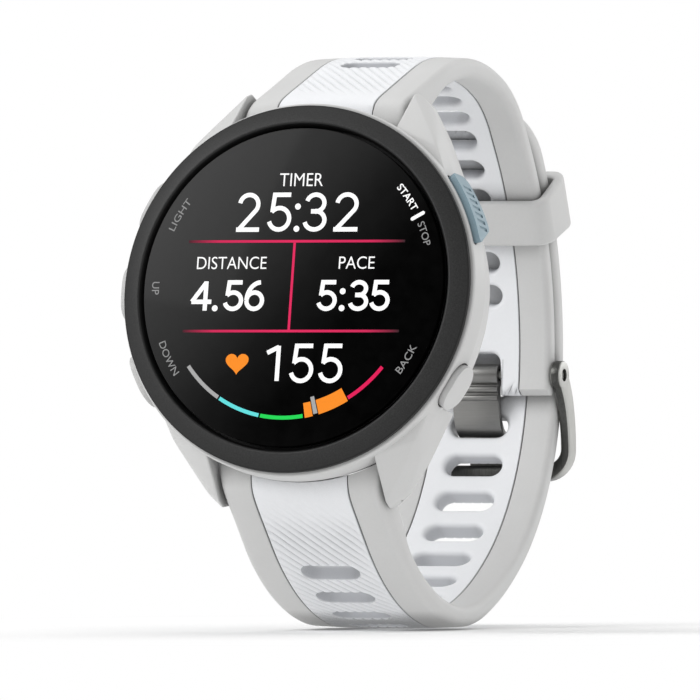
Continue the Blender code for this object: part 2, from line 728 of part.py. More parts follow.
def round_long_edges(mesh, side):
    """Round the rail's two outer long edges."""
    shape = bmesh.new()
    shape.from_mesh(mesh)
    outside = max(abs(vertex.co.x) for vertex in shape.verts)
    edges = []
    for edge in shape.edges:
        first, second = edge.verts
        along = abs(abs(first.co.x) - abs(second.co.x)) < 0.25 * MM
        outer = min(abs(first.co.x), abs(second.co.x)) > outside * 0.60
        corner = len(edge.link_faces) == 2 and edge.calc_face_angle(0.0) > math.radians(60)
        lengthwise = (first.co - second.co).length > 1.2 * MM
        faces_out = any(face.normal.x * side > 0.9 for face in edge.link_faces)
        if along and outer and corner and lengthwise and faces_out:
            edges.append(edge)
    bmesh.ops.bevel(shape, geom=edges, offset=0.7 * MM, segments=2, affect="EDGES", profile=0.5)
    shape.to_mesh(mesh)
    shape.free()


# ---------------------------------------------------------------- keeper and buckle
def frame_on_loop(name, distance, depth):
    """An empty on the loop: X across, Y outward, Z along the strap toward 12 o'clock."""
    _, _, heading = loop_frame(distance)
    along = Vector((0.0, math.sin(heading), -math.cos(heading)))
    outward = Vector((0.0, -math.cos(heading), -math.sin(heading)))
    across = outward.cross(along)
    empty = bpy.data.objects.new(name, None)
    parts.objects.link(empty)
    empty.parent = stand
    turn = Matrix((across, outward, along)).transposed()
    empty.matrix_local = Matrix.LocRotScale(loop_point(0.0, distance, depth), turn, None)
    return empty


def rounded_rectangle(half_width, low, high, radius, steps=4):
    """Corner-rounded outline, counter-clockwise from its right side."""
    centres = (
        (half_width - radius, high - radius, 0), (-half_width + radius, high - radius, 90),
        (-half_width + radius, low + radius, 180), (half_width - radius, low + radius, 270))
    points = []
    for x, y, start in centres:
        for step in range(steps + 1):
            angle = math.radians(start + 90 * step / steps)
            points.append((x + radius * math.cos(angle), y + radius * math.sin(angle)))
    return points


def make_keeper():
    """A loop of strap material around both layers, sliding along the strap's last arc."""
    inside_half = STRAP_HALF_WIDTH * (1.0 - STRAP_TAPER) + GAP
    outer_side = GAP + 0.05 * MM
    inner_side = -(LAYER + STRAP_THICKNESS + CROWN + GAP)
    wall = KEEPER_WALL
    outer_wall = KEEPER_OUTER_WALL
    loop = plate("keeper", (
        rounded_rectangle(inside_half + wall, inner_side - wall, outer_side + outer_wall, 1.8 * MM),
        rounded_rectangle(inside_half, inner_side, outer_side, 0.5 * MM),
    ), KEEPER_LENGTH, "strap_grey")
    loop.parent = frame_on_loop("keeper_seat", KEEPER_AT, 0.0)


def swept_plate(name, points, thickness, half_width):
    """A steel strip of one thickness that follows points in the (outward, along) plane."""
    outline_left = []
    outline_right = []
    half = thickness / 2
    for index, (out, along) in enumerate(points):
        before = points[max(index - 1, 0)]
        after = points[min(index + 1, len(points) - 1)]
        direction = Vector((after[0] - before[0], after[1] - before[1])).normalized()
        outline_left.append((out - direction.y * half, along + direction.x * half))
        outline_right.append((out + direction.y * half, along - direction.x * half))
    outline = outline_left + outline_right[::-1]
    return plate(name, (outline,), 2 * half_width, "steel")


def side_plane(piece, seat, x):
    """Stand a plate, drawn as (outward, along), in the plane across the strap at X."""
    piece.parent = seat
    piece.matrix_local = Matrix.Translation((x, 0.0, 0.0)) @ Matrix((
        (0, 0, 1, 0), (1, 0, 0, 0), (0, 1, 0, 0), (0, 0, 0, 1)))


def arc_points(start, middle, end, count=8):
    """Points on the quadratic curve that leaves start and reaches end around middle."""
    result = []
    for step in range(count + 1):
        t = step / count
        a = (1 - t) ** 2
        b = 2 * t * (1 - t)
        c = t * t
        result.append((
            a * start[0] + b * middle[0] + c * end[0],
            a * start[1] + b * middle[1] + c * end[1]))
    return result


def make_buckle():
    """Frame, tongue and pin, drawn around the pin's axis at the end of the upper strap."""
    depth = LAYER + STRAP_THICKNESS / 2
    seat = frame_on_loop("buckle_axis", PIN_AT, depth)
    pin_reach = ARM_INSIDE + ARM_THICKNESS - 0.3 * MM
    pin = cylinder("buckle_pin", BUCKLE_PIN_RADIUS, 2 * pin_reach, "steel", 16)
    pin.parent = seat
    pin.rotation_euler = (0.0, math.pi / 2, 0.0)

    bar = (FAR_BAR_OUT, -FAR_BAR_DOWN)
    arm_line = arc_points((0.0, 0.0), ARM_BOW, bar, 10)
    frame = None
    for side in (1, -1):
        x = side * (ARM_INSIDE + ARM_THICKNESS / 2)
        arm = swept_plate("arm", arm_line, ARM_WIDTH, ARM_THICKNESS / 2)
        side_plane(arm, seat, x)
        eye = cylinder("eye", EYE_RADIUS, ARM_THICKNESS, "steel", 24)
        eye.parent = seat
        eye.rotation_euler = (0.0, math.pi / 2, 0.0)
        eye.location = (x, 0.0, 0.0)
        combine(arm, eye, "UNION")
        if frame is None:
            arm.name = "buckle_frame"
            frame = arm
        else:
            combine(frame, arm, "UNION")
    across = cylinder("far_bar", FAR_BAR_RADIUS, 2 * (ARM_INSIDE + ARM_THICKNESS), "steel", 20)
    across.parent = seat
    across.rotation_euler = (0.0, math.pi / 2, 0.0)
    across.location = (0.0, bar[0], bar[1])
    combine(frame, across, "UNION")
    eye_hole = cylinder("eye_hole", EYE_BORE, 30 * MM, CUT, 20)
    eye_hole.parent = seat
    eye_hole.rotation_euler = (0.0, math.pi / 2, 0.0)
    combine(frame, eye_hole, "DIFFERENCE")

    line = arc_points(*TONGUE_SHANK, 7) + arc_points(*TONGUE_TIP, 5)
    tongue = swept_plate("tongue_plate", line, TONGUE_THICKNESS, TONGUE_HALF_WIDTH)
    side_plane(tongue, seat, 0.0)
    tongue.name = "buckle_tongue"
    roll = cylinder("roll", ROLL_RADIUS, 2 * TONGUE_HALF_WIDTH, "steel", 24)
    roll.parent = seat
    roll.rotation_euler = (0.0, math.pi / 2, 0.0)
    combine(tongue, roll, "UNION")
    roll_bore = cylinder("roll_bore", EYE_BORE, 12 * MM, CUT, 20)
    roll_bore.parent = seat
    roll_bore.rotation_euler = (0.0, math.pi / 2, 0.0)
    combine(tongue, roll_bore, "DIFFERENCE")


make_bezel()
make_display()
case = make_case()
make_back()
make_inside()
for button in BUTTONS:
    make_button(*button, case)
make_bar("upper", 1)
make_bar("lower", -1)

case_clearance = as_cutter(turned("case_clearance", (
    (0.0, CLEARANCE_FRONT),
    (CASE_RADIUS + GAP, CLEARANCE_FRONT),
    *((radius + GAP, level) for radius, level in CASE_PROFILE),
    (CASE_PROFILE[-1][0] + GAP, CLEARANCE_BACK),
    (0.0, CLEARANCE_BACK),
), CUT, 72))
front_clearance = block(
    "front_clearance", (60 * MM, 60 * MM, 20 * MM), (0.0, 0.0, STRAP_FRONT + 10 * MM), CUT)
as_cutter(front_clearance)
upper_bore = as_cutter(cross_rod(
    "upper_bore", BAR_RADIUS + GAP, -15 * MM, 15 * MM, BAR_DISTANCE, BAR_HEIGHT, CUT, 20))
lower_bore = as_cutter(cross_rod(
    "lower_bore", BAR_RADIUS + GAP, -15 * MM, 15 * MM, -BAR_DISTANCE, BAR_HEIGHT, CUT, 20))
pin_spot = loop_point(0.0, PIN_AT, LAYER + STRAP_THICKNESS / 2)
pin_bore = as_cutter(cross_rod(
    "pin_bore", BUCKLE_PIN_RADIUS + GAP, -15 * MM, 15 * MM, pin_spot.y, pin_spot.z, CUT, 20))
make_strap("lower", False)
make_strap("upper", True)
make_keeper()
make_buckle()
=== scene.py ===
"""Looks of a GPS running watch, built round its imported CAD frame.

Most shapes are drawn in the case's own coordinates, in millimetres: X to 3 o'clock,
Y to 12 o'clock, Z out of the face, with Z = 0 at the seat of the bezel.  `to_row`
carries them into the row frame.  The strap is drawn flat, as (across, along, height),
and then wrapped round the path of its loop.
"""
import contextlib
import json
import math

import bmesh
import bpy
import numpy as np
from mathutils import Matrix, Vector


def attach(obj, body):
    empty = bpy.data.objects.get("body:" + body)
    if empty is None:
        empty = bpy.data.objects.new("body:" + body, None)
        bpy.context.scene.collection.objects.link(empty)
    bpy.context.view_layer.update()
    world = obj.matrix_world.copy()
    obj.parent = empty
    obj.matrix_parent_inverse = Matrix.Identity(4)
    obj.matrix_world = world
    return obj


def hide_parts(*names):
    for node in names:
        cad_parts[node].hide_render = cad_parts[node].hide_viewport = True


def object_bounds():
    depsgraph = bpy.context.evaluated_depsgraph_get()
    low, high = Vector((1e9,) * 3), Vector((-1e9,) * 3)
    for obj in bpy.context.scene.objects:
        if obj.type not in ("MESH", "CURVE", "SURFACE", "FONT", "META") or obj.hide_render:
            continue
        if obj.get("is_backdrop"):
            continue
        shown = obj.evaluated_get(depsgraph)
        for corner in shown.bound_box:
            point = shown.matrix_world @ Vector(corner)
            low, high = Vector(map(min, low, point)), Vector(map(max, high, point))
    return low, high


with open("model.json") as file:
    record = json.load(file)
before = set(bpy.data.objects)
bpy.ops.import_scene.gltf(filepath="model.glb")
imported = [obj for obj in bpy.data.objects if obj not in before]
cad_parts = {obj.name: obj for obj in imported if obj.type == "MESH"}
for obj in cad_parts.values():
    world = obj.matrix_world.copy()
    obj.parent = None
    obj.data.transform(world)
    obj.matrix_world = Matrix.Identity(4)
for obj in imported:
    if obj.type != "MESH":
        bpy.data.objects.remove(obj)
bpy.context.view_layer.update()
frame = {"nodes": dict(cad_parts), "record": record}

MM = 0.001
X_AXIS = Vector((1.0, 0.0, 0.0))

# Case, bezel and display
CASE_RADIUS = 21.9
CASE_BACK = -8.6
BEZEL_RADIUS = 21.5
BEZEL_TOP = 1.5
BEZEL_INNER_RADIUS = 18.95
GLASS_RADIUS = 18.65
GLASS_TOP = 1.4
GLASS_THICKNESS = 0.8
PRINT_HEIGHT = 0.02
LUG_INSIDE = 10.4
BAR_HEIGHT = -7.9
BAR_DISTANCE = 22.9
BAR_BORE = 1.05                      # radius of the strap's hole for a spring bar
KNOB_X = 6.2
SOCKET_RADIUS = 0.5
SOCKET_REACH = 11.6

# Buttons: name, angle from 3 o'clock, length along the wall, height across it
BLUE_BUTTON = "start_stop_button"
BUTTONS = (
    (BLUE_BUTTON, 26.3, 9.2, 4.2),
    ("back_button", -29.5, 5.5, 4.2),
    ("light_button", 152.5, 6.4, 3.8),
    ("up_button", 180.0, 6.4, 3.8),
    ("down_button", 207.5, 6.4, 3.8),
)
BUTTON_LEVEL = -3.1
BUTTON_PROUD = 0.75
BUTTON_POCKET = 0.9
BUTTON_BLANK = 2.0                   # how far a button's outline is drawn past its crown
POCKET_GAP = 0.2
STEM_RADIUS = 0.8
STEM_INSIDE = 18.2
GRIP_PITCH = 0.85

# Strap loop: arcs of (length, turn in degrees) from the 6 o'clock lugs round the wrist
LOOP_START = (3.4, -22.3)
LOOP_HEADING = -36.0
LOOP_ARCS = (
    (10.0, 0.0), (20.4, 36.0), (10.7, 28.0), (12.9, 17.0), (28.1, 52.0),
    (30.3, 40.0), (3.03, 0.0), (9.6, 30.0), (22.64, 42.0), (13.9, 0.0))
LOOP_LENGTH = sum(length for length, turn in LOOP_ARCS)
STRAP_THICKNESS = 2.4
END_THICKNESS = 3.6
END_LENGTH = 6.5
END_BLEND = 8.0
SHOULDER_SOFTNESS = 0.70
SHOULDER_SLOPE = 0.12
STRAP_HALF_WIDTH = 10.05
STRAP_TAPER = 0.035
STRAP_TAPER_LENGTH = 60.0
CROWN = 0.30
CORE_HALF_WIDTH = 5.95
RAIL_INSIDE = 6.07
LAYER = STRAP_THICKNESS + 0.3
STRAP_FRONT = -4.6
CASE_PROFILE = ((20.45, -8.6), (20.9, -7.2), (21.4, -5.6), (21.9, -3.6))
CASE_GAP = 0.12
TAIL_END = 115.3
TIP_LENGTH = 6.0
TIP_NARROWING = 0.35
TAIL_ROUND = 1.2
BUCKLE_END_ROUND = 0.8
BUCKLE_END = 78.1
SLOT_PITCH = 5.42
SLOT_FIRST = 14.7
LOWER_SLOTS = 14
UPPER_SLOT_PITCH = 4.52
UPPER_SLOT_FIRST = 15.8
UPPER_SLOTS = 13
RUN_IN = 4.0
SLOT_LENGTH = 7.4
SLOT_WIDTH = 2.7
SLOT_INNER_RIM = 0.70
NOTCH_INNER_RIM = 0.55
RIB_SLOPE = 1.2                      # along the strap for each millimetre across it
RIB_PERIOD = 1.44                    # along the strap
RIB_DEPTH = 0.20
NOTCH_HALF_WIDTH = 3.3
NOTCH_END = 83.8
OUTER_RIM = 0.14
RAIL_ROW = 0.6
STRAP_CUT = 14.0                     # half length of the cutters that cross the strap

# Keeper and buckle
KEEPER_AT = 102.2
KEEPER_LENGTH = 6.5
KEEPER_WALL = 1.2
KEEPER_OUTER_WALL = 2.0
KEEPER_PLAY = 0.3
PIN_AT = 80.9
PIN_BORE = 0.8
EYE_BORE = 0.75
EYE_RADIUS = 1.7
ARM_INSIDE = 9.85
ARM_THICKNESS = 1.2
ARM_BOW = (3.9, -3.4)
ARM_FULLNESS = 1.3                   # the arms are this much fuller on their wrist side
FAR_BAR = (4.0, -11.7)
TONGUE_HALF_WIDTH = 2.9
TONGUE_THICKNESS = 0.8
ROLL_RADIUS = 1.35

mounts = {mount["name"]: mount for mount in frame["record"]["mounts"]}
FACE = Vector(mounts["display_face"]["axis"]).normalized()
TWELVE = FACE.cross(X_AXIS)
SEAT = Vector(mounts["display_face"]["pos_m"]) - FACE * (GLASS_TOP * MM)
CASE_AXES = np.array((X_AXIS, TWELVE, FACE))


def to_row(points):
    """Case coordinates in millimetres to the row frame in metres."""
    return np.array(SEAT) + (np.asarray(points, float) * MM) @ CASE_AXES


# ---------- materials
def grey(level):
    return (level,) * 3


class Recipe:
    """A Principled material whose colour, roughness and bump come from nodes."""

    def __init__(self, name, roughness=0.5, metallic=0.0, specular=0.5):
        self.material = bpy.data.materials.new(name)
        self.material.use_nodes = True
        self.tree = self.material.node_tree
        self.shader = self.tree.nodes["Principled BSDF"]
        self.feed(self.shader, {"Roughness": roughness, "Metallic": metallic,
                                "Specular IOR Level": specular})
        self.place = self.node("TexCoord", "Object")

    def feed(self, node, inputs):
        """Link each input to a socket, or set it to a value or a colour."""
        for key, value in inputs.items():
            if isinstance(value, bpy.types.NodeSocket):
                self.tree.links.new(value, node.inputs[key])
            elif node.inputs[key].type == "RGBA":
                node.inputs[key].default_value = (*value, 1.0)
            else:
                node.inputs[key].default_value = value

    def node(self, kind, output, inputs=(), **settings):
        """A new node's output socket, once the node's inputs and settings are in place."""
        made = self.tree.nodes.new("ShaderNode" + kind)
        for key, value in settings.items():
            setattr(made, key, value)
        self.feed(made, dict(inputs))
        return made.outputs[output]

    def noise(self, size, detail=3.0, stretch=(1.0, 1.0, 1.0), rough=0.5):
        """Noise with features of about `size` millimetres."""
        where = self.node("Mapping", "Vector", {"Scale": stretch, "Vector": self.place})
        return self.node("TexNoise", "Fac", {
            "Scale": 1.0 / (size * MM), "Detail": detail, "Roughness": rough, "Vector": where})

    def ramp(self, source, *stops):
        """A colour ramp from (position, colour or grey level) stops."""
        made = self.tree.nodes.new("ShaderNodeValToRGB")
        elements = made.color_ramp.elements
        while len(elements) < len(stops):
            elements.new(0.5)
        for element, (position, colour) in zip(elements, stops):
            element.position = position
            element.color = (*(colour if isinstance(colour, tuple) else grey(colour)), 1.0)
        self.feed(made, {"Fac": source})
        return made.outputs["Color"]

    def mixed(self, factor, first, second, blend="MIX"):
        return self.node("Mix", 2, {0: factor, 6: first, 7: second},
                         data_type="RGBA", blend_type=blend)

    def range_of(self, source, low, high, smoothed=False):
        """0 at the low value of the source, 1 at its high value."""
        return self.node("MapRange", "Result",
                         {"From Min": low, "From Max": high, "Value": source},
                         interpolation_type="SMOOTHSTEP" if smoothed else "LINEAR")

    def size_across(self, vector):
        """The absolute X of a vector socket."""
        across = self.node("SeparateXYZ", "X", {"Vector": vector})
        return self.node("Math", "Value", {0: across}, operation="ABSOLUTE")

    def colour(self, source):
        self.feed(self.shader, {"Base Color": source})

    def bump(self, source, depth, strength):
        """Bump whose full range stands for `depth` millimetres."""
        self.feed(self.shader, {"Normal": self.node("Bump", "Normal", {
            "Distance": depth * MM, "Strength": strength, "Height": source})})

    def finish(self, tone, grain, low, high, depth=0.0, strength=0.5):
        """Set the colour, and take the roughness and the bump from a grain."""
        self.colour(tone)
        self.feed(self.shader, {"Roughness": self.node(
            "MapRange", "Result", {"To Min": low, "To Max": high, "Value": grain})})
        if depth:
            self.bump(grain, depth, strength)
        return self.material

    def glow(self, tone, light, strength):
        self.colour(tone)
        self.feed(self.shader, {"Emission Color": light, "Emission Strength": strength})
        return self.material


def shade(colour, factor):
    return tuple(min(channel * factor, 1.0) for channel in colour)


RECESS_SHADE_REACH = 2.4 * MM              # how far the painted shade in recesses looks for cover
SLOT_WALL_SHADE = (0.72, 0.725, 0.74)      # share of its colour left on a slot's wall, a painted shade


def moulded(name, colour, roughness, grain=0.25, depth=0.012, mottle=0.03, specular=0.4,
            recess_shade=0.0):
    """Moulded polymer or silicone: faint cloudiness, fine grain, and painted shade that darkens its
    recesses and the sides of its slots.
    """
    made = Recipe(name, roughness, specular=specular)
    clouds = made.noise(6.0, 4.0)
    fine = made.noise(grain, 2.0)
    dull, bright = shade(colour, 1 - mottle), shade(colour, 1 + mottle)
    tone = made.mixed(0.35, made.ramp(clouds, (0.3, dull), (0.7, bright)),
                      made.ramp(fine, (0.35, dull), (0.65, bright)))
    if recess_shade:
        # painted shade: ambient occlusion darkens the colour in recesses
        cover = made.node("AmbientOcclusion", "AO", {"Distance": RECESS_SHADE_REACH}, samples=4)
        tone = made.mixed(1.0, tone, made.ramp(
            cover, (0.25, 1.0 - recess_shade), (0.60, 1.0 - recess_shade * 0.45), (0.92, 1.0)), "MULTIPLY")
        # painted shade: the marked sides of the slots are darkened further
        wall_shade_mask = made.node("Attribute", "Fac", attribute_name="recess_shade")
        tone = made.mixed(1.0, tone, made.ramp(wall_shade_mask, (0.0, 1.0), (1.0, SLOT_WALL_SHADE)), "MULTIPLY")
    return made.finish(tone, fine, roughness - 0.06, roughness + 0.06, depth, 0.35)


def brushed(name, dark, light, roughness, stretch, depth=0.006):
    """Steel with fine parallel scratches that run along the least stretched axis."""
    made = Recipe(name, roughness, 1.0)
    scratches = made.noise(0.12, 5.0, stretch, 0.7)
    clouds = made.noise(4.0, 3.0)
    tone = made.mixed(0.7, made.ramp(clouds, (0.3, dark), (0.7, light)),
                      made.ramp(scratches, (0.3, dark), (0.7, light)))
    return made.finish(tone, scratches, roughness - 0.1, roughness + 0.12, depth)


def glass_painted_reflection():
    """Dark glass whose colour carries a painted broad soft reflection that fades from its upper
    left.
    """
    made = Recipe("glass_painted_reflection", 0.12, specular=0.02)
    across = CASE_AXES[1] * 0.62 - CASE_AXES[0] * 0.78
    along = made.node("VectorMath", "Value", {0: made.place, 1: tuple(across)},
                      operation="DOT_PRODUCT")
    middle = float(np.dot(np.array(SEAT), across))
    span = made.range_of(along, middle - 19 * MM, middle + 19 * MM)
    # painted reflection: the base colour brightens across the glass toward its upper left
    tone = made.ramp(span, (0.0, 0.0004), (0.30, 0.0012), (0.48, 0.009), (0.70, 0.030),
                     (1.0, 0.052))
    dust = made.noise(1.5, 3.0)
    tone = made.mixed(0.06, tone, made.ramp(dust, (0.3, 0.0), (0.7, 0.02)))
    return made.finish(tone, dust, 0.06, 0.10)


def dial_radius(made):
    """Distance from the dial's axis as a node socket."""
    offset = made.node("VectorMath", "Vector", {0: made.place, 1: tuple(SEAT)},
                       operation="SUBTRACT")
    crossed = made.node("VectorMath", "Vector", {0: offset, 1: tuple(FACE)},
                        operation="CROSS_PRODUCT")
    return made.node("VectorMath", "Value", {0: crossed}, operation="LENGTH")


def bezel_polymer():
    """Charcoal polymer with a fine speckle, and painted shade that turns it black on its inner step
    down to the glass and on its outer rim.
    """
    made = Recipe("bezel_polymer", 0.5, specular=0.35)
    span = made.range_of(dial_radius(made), 18.9 * MM, 21.6 * MM)
    # painted shade: black on the inner step and on the outer rim
    body = made.ramp(span, (0.16, 0.003), (0.20, 0.022), (0.50, 0.017), (0.88, 0.013),
                     (0.93, 0.003))
    speckle = made.noise(0.14, 2.0)
    tone = made.mixed(0.45, body, made.ramp(speckle, (0.35, 0.25), (0.70, 1.9)), "MULTIPLY")
    return made.finish(tone, speckle, 0.44, 0.60, 0.03, 0.35)


def buckle_steel():
    """Satin steel with painted light and shade: light on the flanks, dark where it faces the strap.
    """
    made = Recipe("buckle_steel", 0.34, 1.0)
    scratches = made.noise(0.12, 5.0, (1.0, 1.0, 0.06), 0.7)
    # painted highlight on the flanks and painted shade on the faces toward the strap, picked by
    # which way the surface faces
    sideways = made.size_across(made.node("NewGeometry", "Normal"))
    lit_flank = made.ramp(sideways, (0.35, 0.0), (0.75, 1.0))
    light = made.ramp(scratches, (0.3, (0.42, 0.42, 0.40)), (0.7, (0.56, 0.56, 0.54)))
    dark = made.ramp(scratches, (0.3, (0.07, 0.07, 0.066)), (0.7, (0.13, 0.13, 0.125)))
    return made.finish(made.mixed(lit_flank, dark, light), scratches, 0.26, 0.44, 0.006)


def circuit_board():
    """Green solder mask with a regular pattern of traces and pads."""
    made = Recipe("circuit_board", 0.45)
    pattern = {"Scale": 420.0, "Color1": (0.016, 0.13, 0.06), "Color2": (0.022, 0.17, 0.075),
               "Mortar": (0.05, 0.26, 0.12), "Vector": made.place}
    traces = made.node("TexBrick", "Color", pattern)
    cells = made.node("TexVoronoi", "Distance", {"Scale": 900.0, "Vector": made.place})
    pads = made.ramp(cells, (0.10, (0.75, 0.62, 0.30)), (0.16, 0.0))
    made.colour(made.mixed(1.0, traces, pads, "ADD"))
    made.bump(traces.node.outputs["Fac"], 0.03, 0.5)
    return made.material


def light_ink(name, colour, strength):
    """Lit pixels under the glass, with the faint grain of a pixel grid."""
    made = Recipe(name, 0.35, specular=0.2)
    tone = made.ramp(made.noise(0.15, 1.0), (0.3, shade(colour, 0.94)), (0.7, colour))
    return made.glow(made.mixed(0.5, tone, shade(colour, 0.3)), tone, strength)


def fading_line():
    """Crimson rules that fade out toward the display's left and right."""
    made = Recipe("readout_rule", 0.4, specular=0.2)
    span = made.range_of(made.size_across(made.place), 0.0, 13.6 * MM)
    tone = made.ramp(span, (0.0, (0.75, 0.012, 0.10)), (0.70, (0.62, 0.010, 0.085)),
                     (1.0, (0.012, 0.004, 0.006)))
    return made.glow(made.mixed(0.6, tone, (0.02, 0.0, 0.005)), tone, 0.6)


LOOKS = {
    "case_grey": moulded(
        "case_polymer", (0.60, 0.60, 0.595), 0.42, 0.22, 0.010, 0.02, recess_shade=0.35),
    "strap_grey": moulded(
        "grey_silicone", (0.61, 0.61, 0.605), 0.52, 0.30, 0.014, 0.025, 0.35, 0.45),
    "strap_white": moulded(
        "white_silicone", (0.83, 0.84, 0.86), 0.50, 0.30, 0.012, 0.015, 0.35, 0.60),
    "bezel_black": bezel_polymer(),
    "buckle_steel": buckle_steel(),
    "glass": glass_painted_reflection(),
    "panel": moulded("display_panel", (0.010, 0.010, 0.012), 0.25, 0.5, 0.002, 0.2),
    "button_blue": moulded(
        "blue_grey_polymer", (0.23, 0.33, 0.385), 0.45, 0.22, 0.012, 0.04, recess_shade=0.4),
    "seal": moulded("seal_rubber", (0.022, 0.022, 0.024), 0.75, 0.3, 0.02, 0.2),
    "steel": brushed("satin_steel", (0.40, 0.40, 0.385), (0.56, 0.56, 0.54), 0.34, (0.05, 1, 1)),
    "tongue_steel": brushed("dark_steel", (0.225, 0.223, 0.216), (0.28, 0.277, 0.268), 0.36,
                            (0.03, 1, 1), 0.002),
    "gold": brushed("gold_plate", (0.72, 0.50, 0.18), (0.85, 0.64, 0.28), 0.28, (1, 1, 1)),
    "copper": brushed("copper_foil", (0.60, 0.33, 0.20), (0.78, 0.47, 0.31), 0.34, (1, 0.2, 1)),
    "cell": brushed("foil_pouch", (0.10, 0.11, 0.13), (0.20, 0.21, 0.24), 0.42, (1, 1, 0.2)),
    "board": circuit_board(),
}
for ink, colour, strength in (
        ("white", grey(0.90), 0.55), ("grey", grey(0.34), 0.20), ("silver", grey(0.40), 0.35),
        ("cyan", (0.11, 0.68, 0.68), 0.45), ("green", (0.006, 0.64, 0.08), 0.45),
        ("orange", (0.90, 0.25, 0.010), 0.45), ("crimson", (0.68, 0.002, 0.08), 0.5)):
    LOOKS["readout_" + ink] = light_ink("readout_" + ink, colour, strength)
LOOKS["readout_rule"] = fading_line()


# ---------- mesh helpers
def add_object(name, data):
    made = bpy.data.objects.new(name, data)
    bpy.context.scene.collection.objects.link(made)
    return made


@contextlib.contextmanager
def reshaping(mesh):
    """Edit a mesh as a bmesh."""
    shape = bmesh.new()
    shape.from_mesh(mesh)
    yield shape
    shape.to_mesh(mesh)
    shape.free()


def draft(name, points, faces):
    """A closed shape in case coordinates, in millimetres, not yet in the row frame."""
    mesh = bpy.data.meshes.new(name)
    mesh.from_pydata([tuple(point) for point in points], [], faces)
    with reshaping(mesh) as shape:
        bmesh.ops.recalc_face_normals(shape, faces=shape.faces)
    return add_object(name, mesh)


def settle(made, look, body="watch", angle=35, stands_for=()):
    """Carry a draft into the row frame, give it its finish and body, and hide the CAD nodes it
    stands for.
    """
    mesh = made.data
    points = np.empty(3 * len(mesh.vertices), np.float32)
    mesh.vertices.foreach_get("co", points)
    mesh.vertices.foreach_set("co", to_row(points.reshape(-1, 3)).astype(np.float32).ravel())
    mesh.update()
    mesh.shade_smooth()
    mesh.set_sharp_from_angle(angle=math.radians(angle))
    mesh.materials.clear()
    mesh.materials.append(LOOKS[look])
    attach(made, body)
    if stands_for:
        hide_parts(*stands_for)


def join_shapes(shapes):
    """Several (points, faces) shapes as one."""
    points = []
    faces = []
    for some_points, some_faces in shapes:
        base = len(points)
        points += [tuple(point) for point in some_points]
        faces += [tuple(base + corner for corner in face) for face in some_faces]
    return points, faces


def loft(rings, capped=True):
    """Points and quads through equal closed rings; the first and last can be capped."""
    count = len(rings[0])
    points = [point for ring in rings for point in ring]
    faces = []
    for row in range(len(rings) - 1):
        for column in range(count):
            following = (column + 1) % count
            faces.append((row * count + column, row * count + following,
                          (row + 1) * count + following, (row + 1) * count + column))
    if capped:
        faces.append(tuple(range(count))[::-1])
        last = (len(rings) - 1) * count
        faces.append(tuple(range(last, last + count)))
    return points, faces


def hoop(rings):
    """Points and quads through equal rings that close on themselves."""
    points, faces = loft(rings + rings[:1], False)
    total = len(rings) * len(rings[0])
    return points[:total], [tuple(index % total for index in face) for face in faces]


def circle(radius, steps):
    return [(radius * math.cos(2 * math.pi * step / steps),
             radius * math.sin(2 * math.pi * step / steps)) for step in range(steps)]


def turned(profile, steps):
    """A closed (radius, height) profile spun about the case's Z."""
    return hoop([[(radius * x, radius * y, height) for radius, height in profile]
                 for x, y in circle(1.0, steps)])


def disc(profile, steps):
    """A solid of revolution whose open (radius, height) profile ends in two flat caps."""
    return loft([[(x, y, height) for x, y in circle(radius, steps)]
                 for radius, height in profile])


def rounded(corners, steps=5):
    """A closed outline from (x, y, radius) corners, each rounded with an arc."""
    outline = []
    count = len(corners)
    for index, (x, y, radius) in enumerate(corners):
        corner = Vector((x, y))
        before = Vector(corners[index - 1][:2])
        after = Vector(corners[(index + 1) % count][:2])
        if radius == 0:
            outline.append((x, y))
            continue
        first = (before - corner).normalized()
        second = (after - corner).normalized()
        half = first.angle(second) / 2
        centre = corner + (first + second).normalized() * (radius / math.sin(half))
        reach = radius / math.tan(half)
        start = corner + first * reach - centre
        finish = corner + second * reach - centre
        sweep = math.atan2(start.x * finish.y - start.y * finish.x, start.dot(finish))
        for step in range(steps + 1):
            turn = Matrix.Rotation(sweep * step / steps, 2)
            spot = centre + turn @ start
            outline.append((spot.x, spot.y))
    return outline


def apply_modifiers(made):
    bpy.context.view_layer.update()
    evaluated = made.evaluated_get(bpy.context.evaluated_depsgraph_get())
    mesh = bpy.data.meshes.new_from_object(evaluated)
    made.modifiers.clear()
    made.data = mesh


def boolean(made, other, operation="DIFFERENCE"):
    """Apply an exact Boolean with another draft, and remove that one."""
    modifier = made.modifiers.new("cut", "BOOLEAN")
    modifier.object = other
    modifier.operation = operation
    modifier.solver = "EXACT"
    apply_modifiers(made)
    bpy.data.objects.remove(other, do_unlink=True)


def bevel(made, width, segments=3, degrees=40):
    modifier = made.modifiers.new("edge", "BEVEL")
    modifier.width = width
    modifier.segments = segments
    modifier.limit_method = "ANGLE"
    modifier.angle_limit = math.radians(degrees)
    apply_modifiers(made)


def rod(name, radius, start, finish, steps=32):
    """A cylinder between two points."""
    start = Vector(start)
    axis = Vector(finish) - start
    turn = axis.to_track_quat("Z", "Y")
    return draft(name, *loft([
        [start + axis * share + turn @ Vector((x, y, 0.0)) for x, y in circle(radius, steps)]
        for share in (0.0, 1.0)]))


def cross_rod(name, radius, reach, spot):
    """A rod along X through a (Y, Z) spot."""
    return rod(name, radius, (-reach, *spot), (reach, *spot))


def stadium_outline(length, width, steps=16):
    """A slot's outline: length along X, width along Y."""
    outline = []
    for side, start in ((1, -90), (-1, 90)):
        for step in range(steps + 1):
            angle = math.radians(start + 180 * step / steps)
            outline.append((side * (length - width) / 2 + width / 2 * math.cos(angle),
                            width / 2 * math.sin(angle)))
    return outline


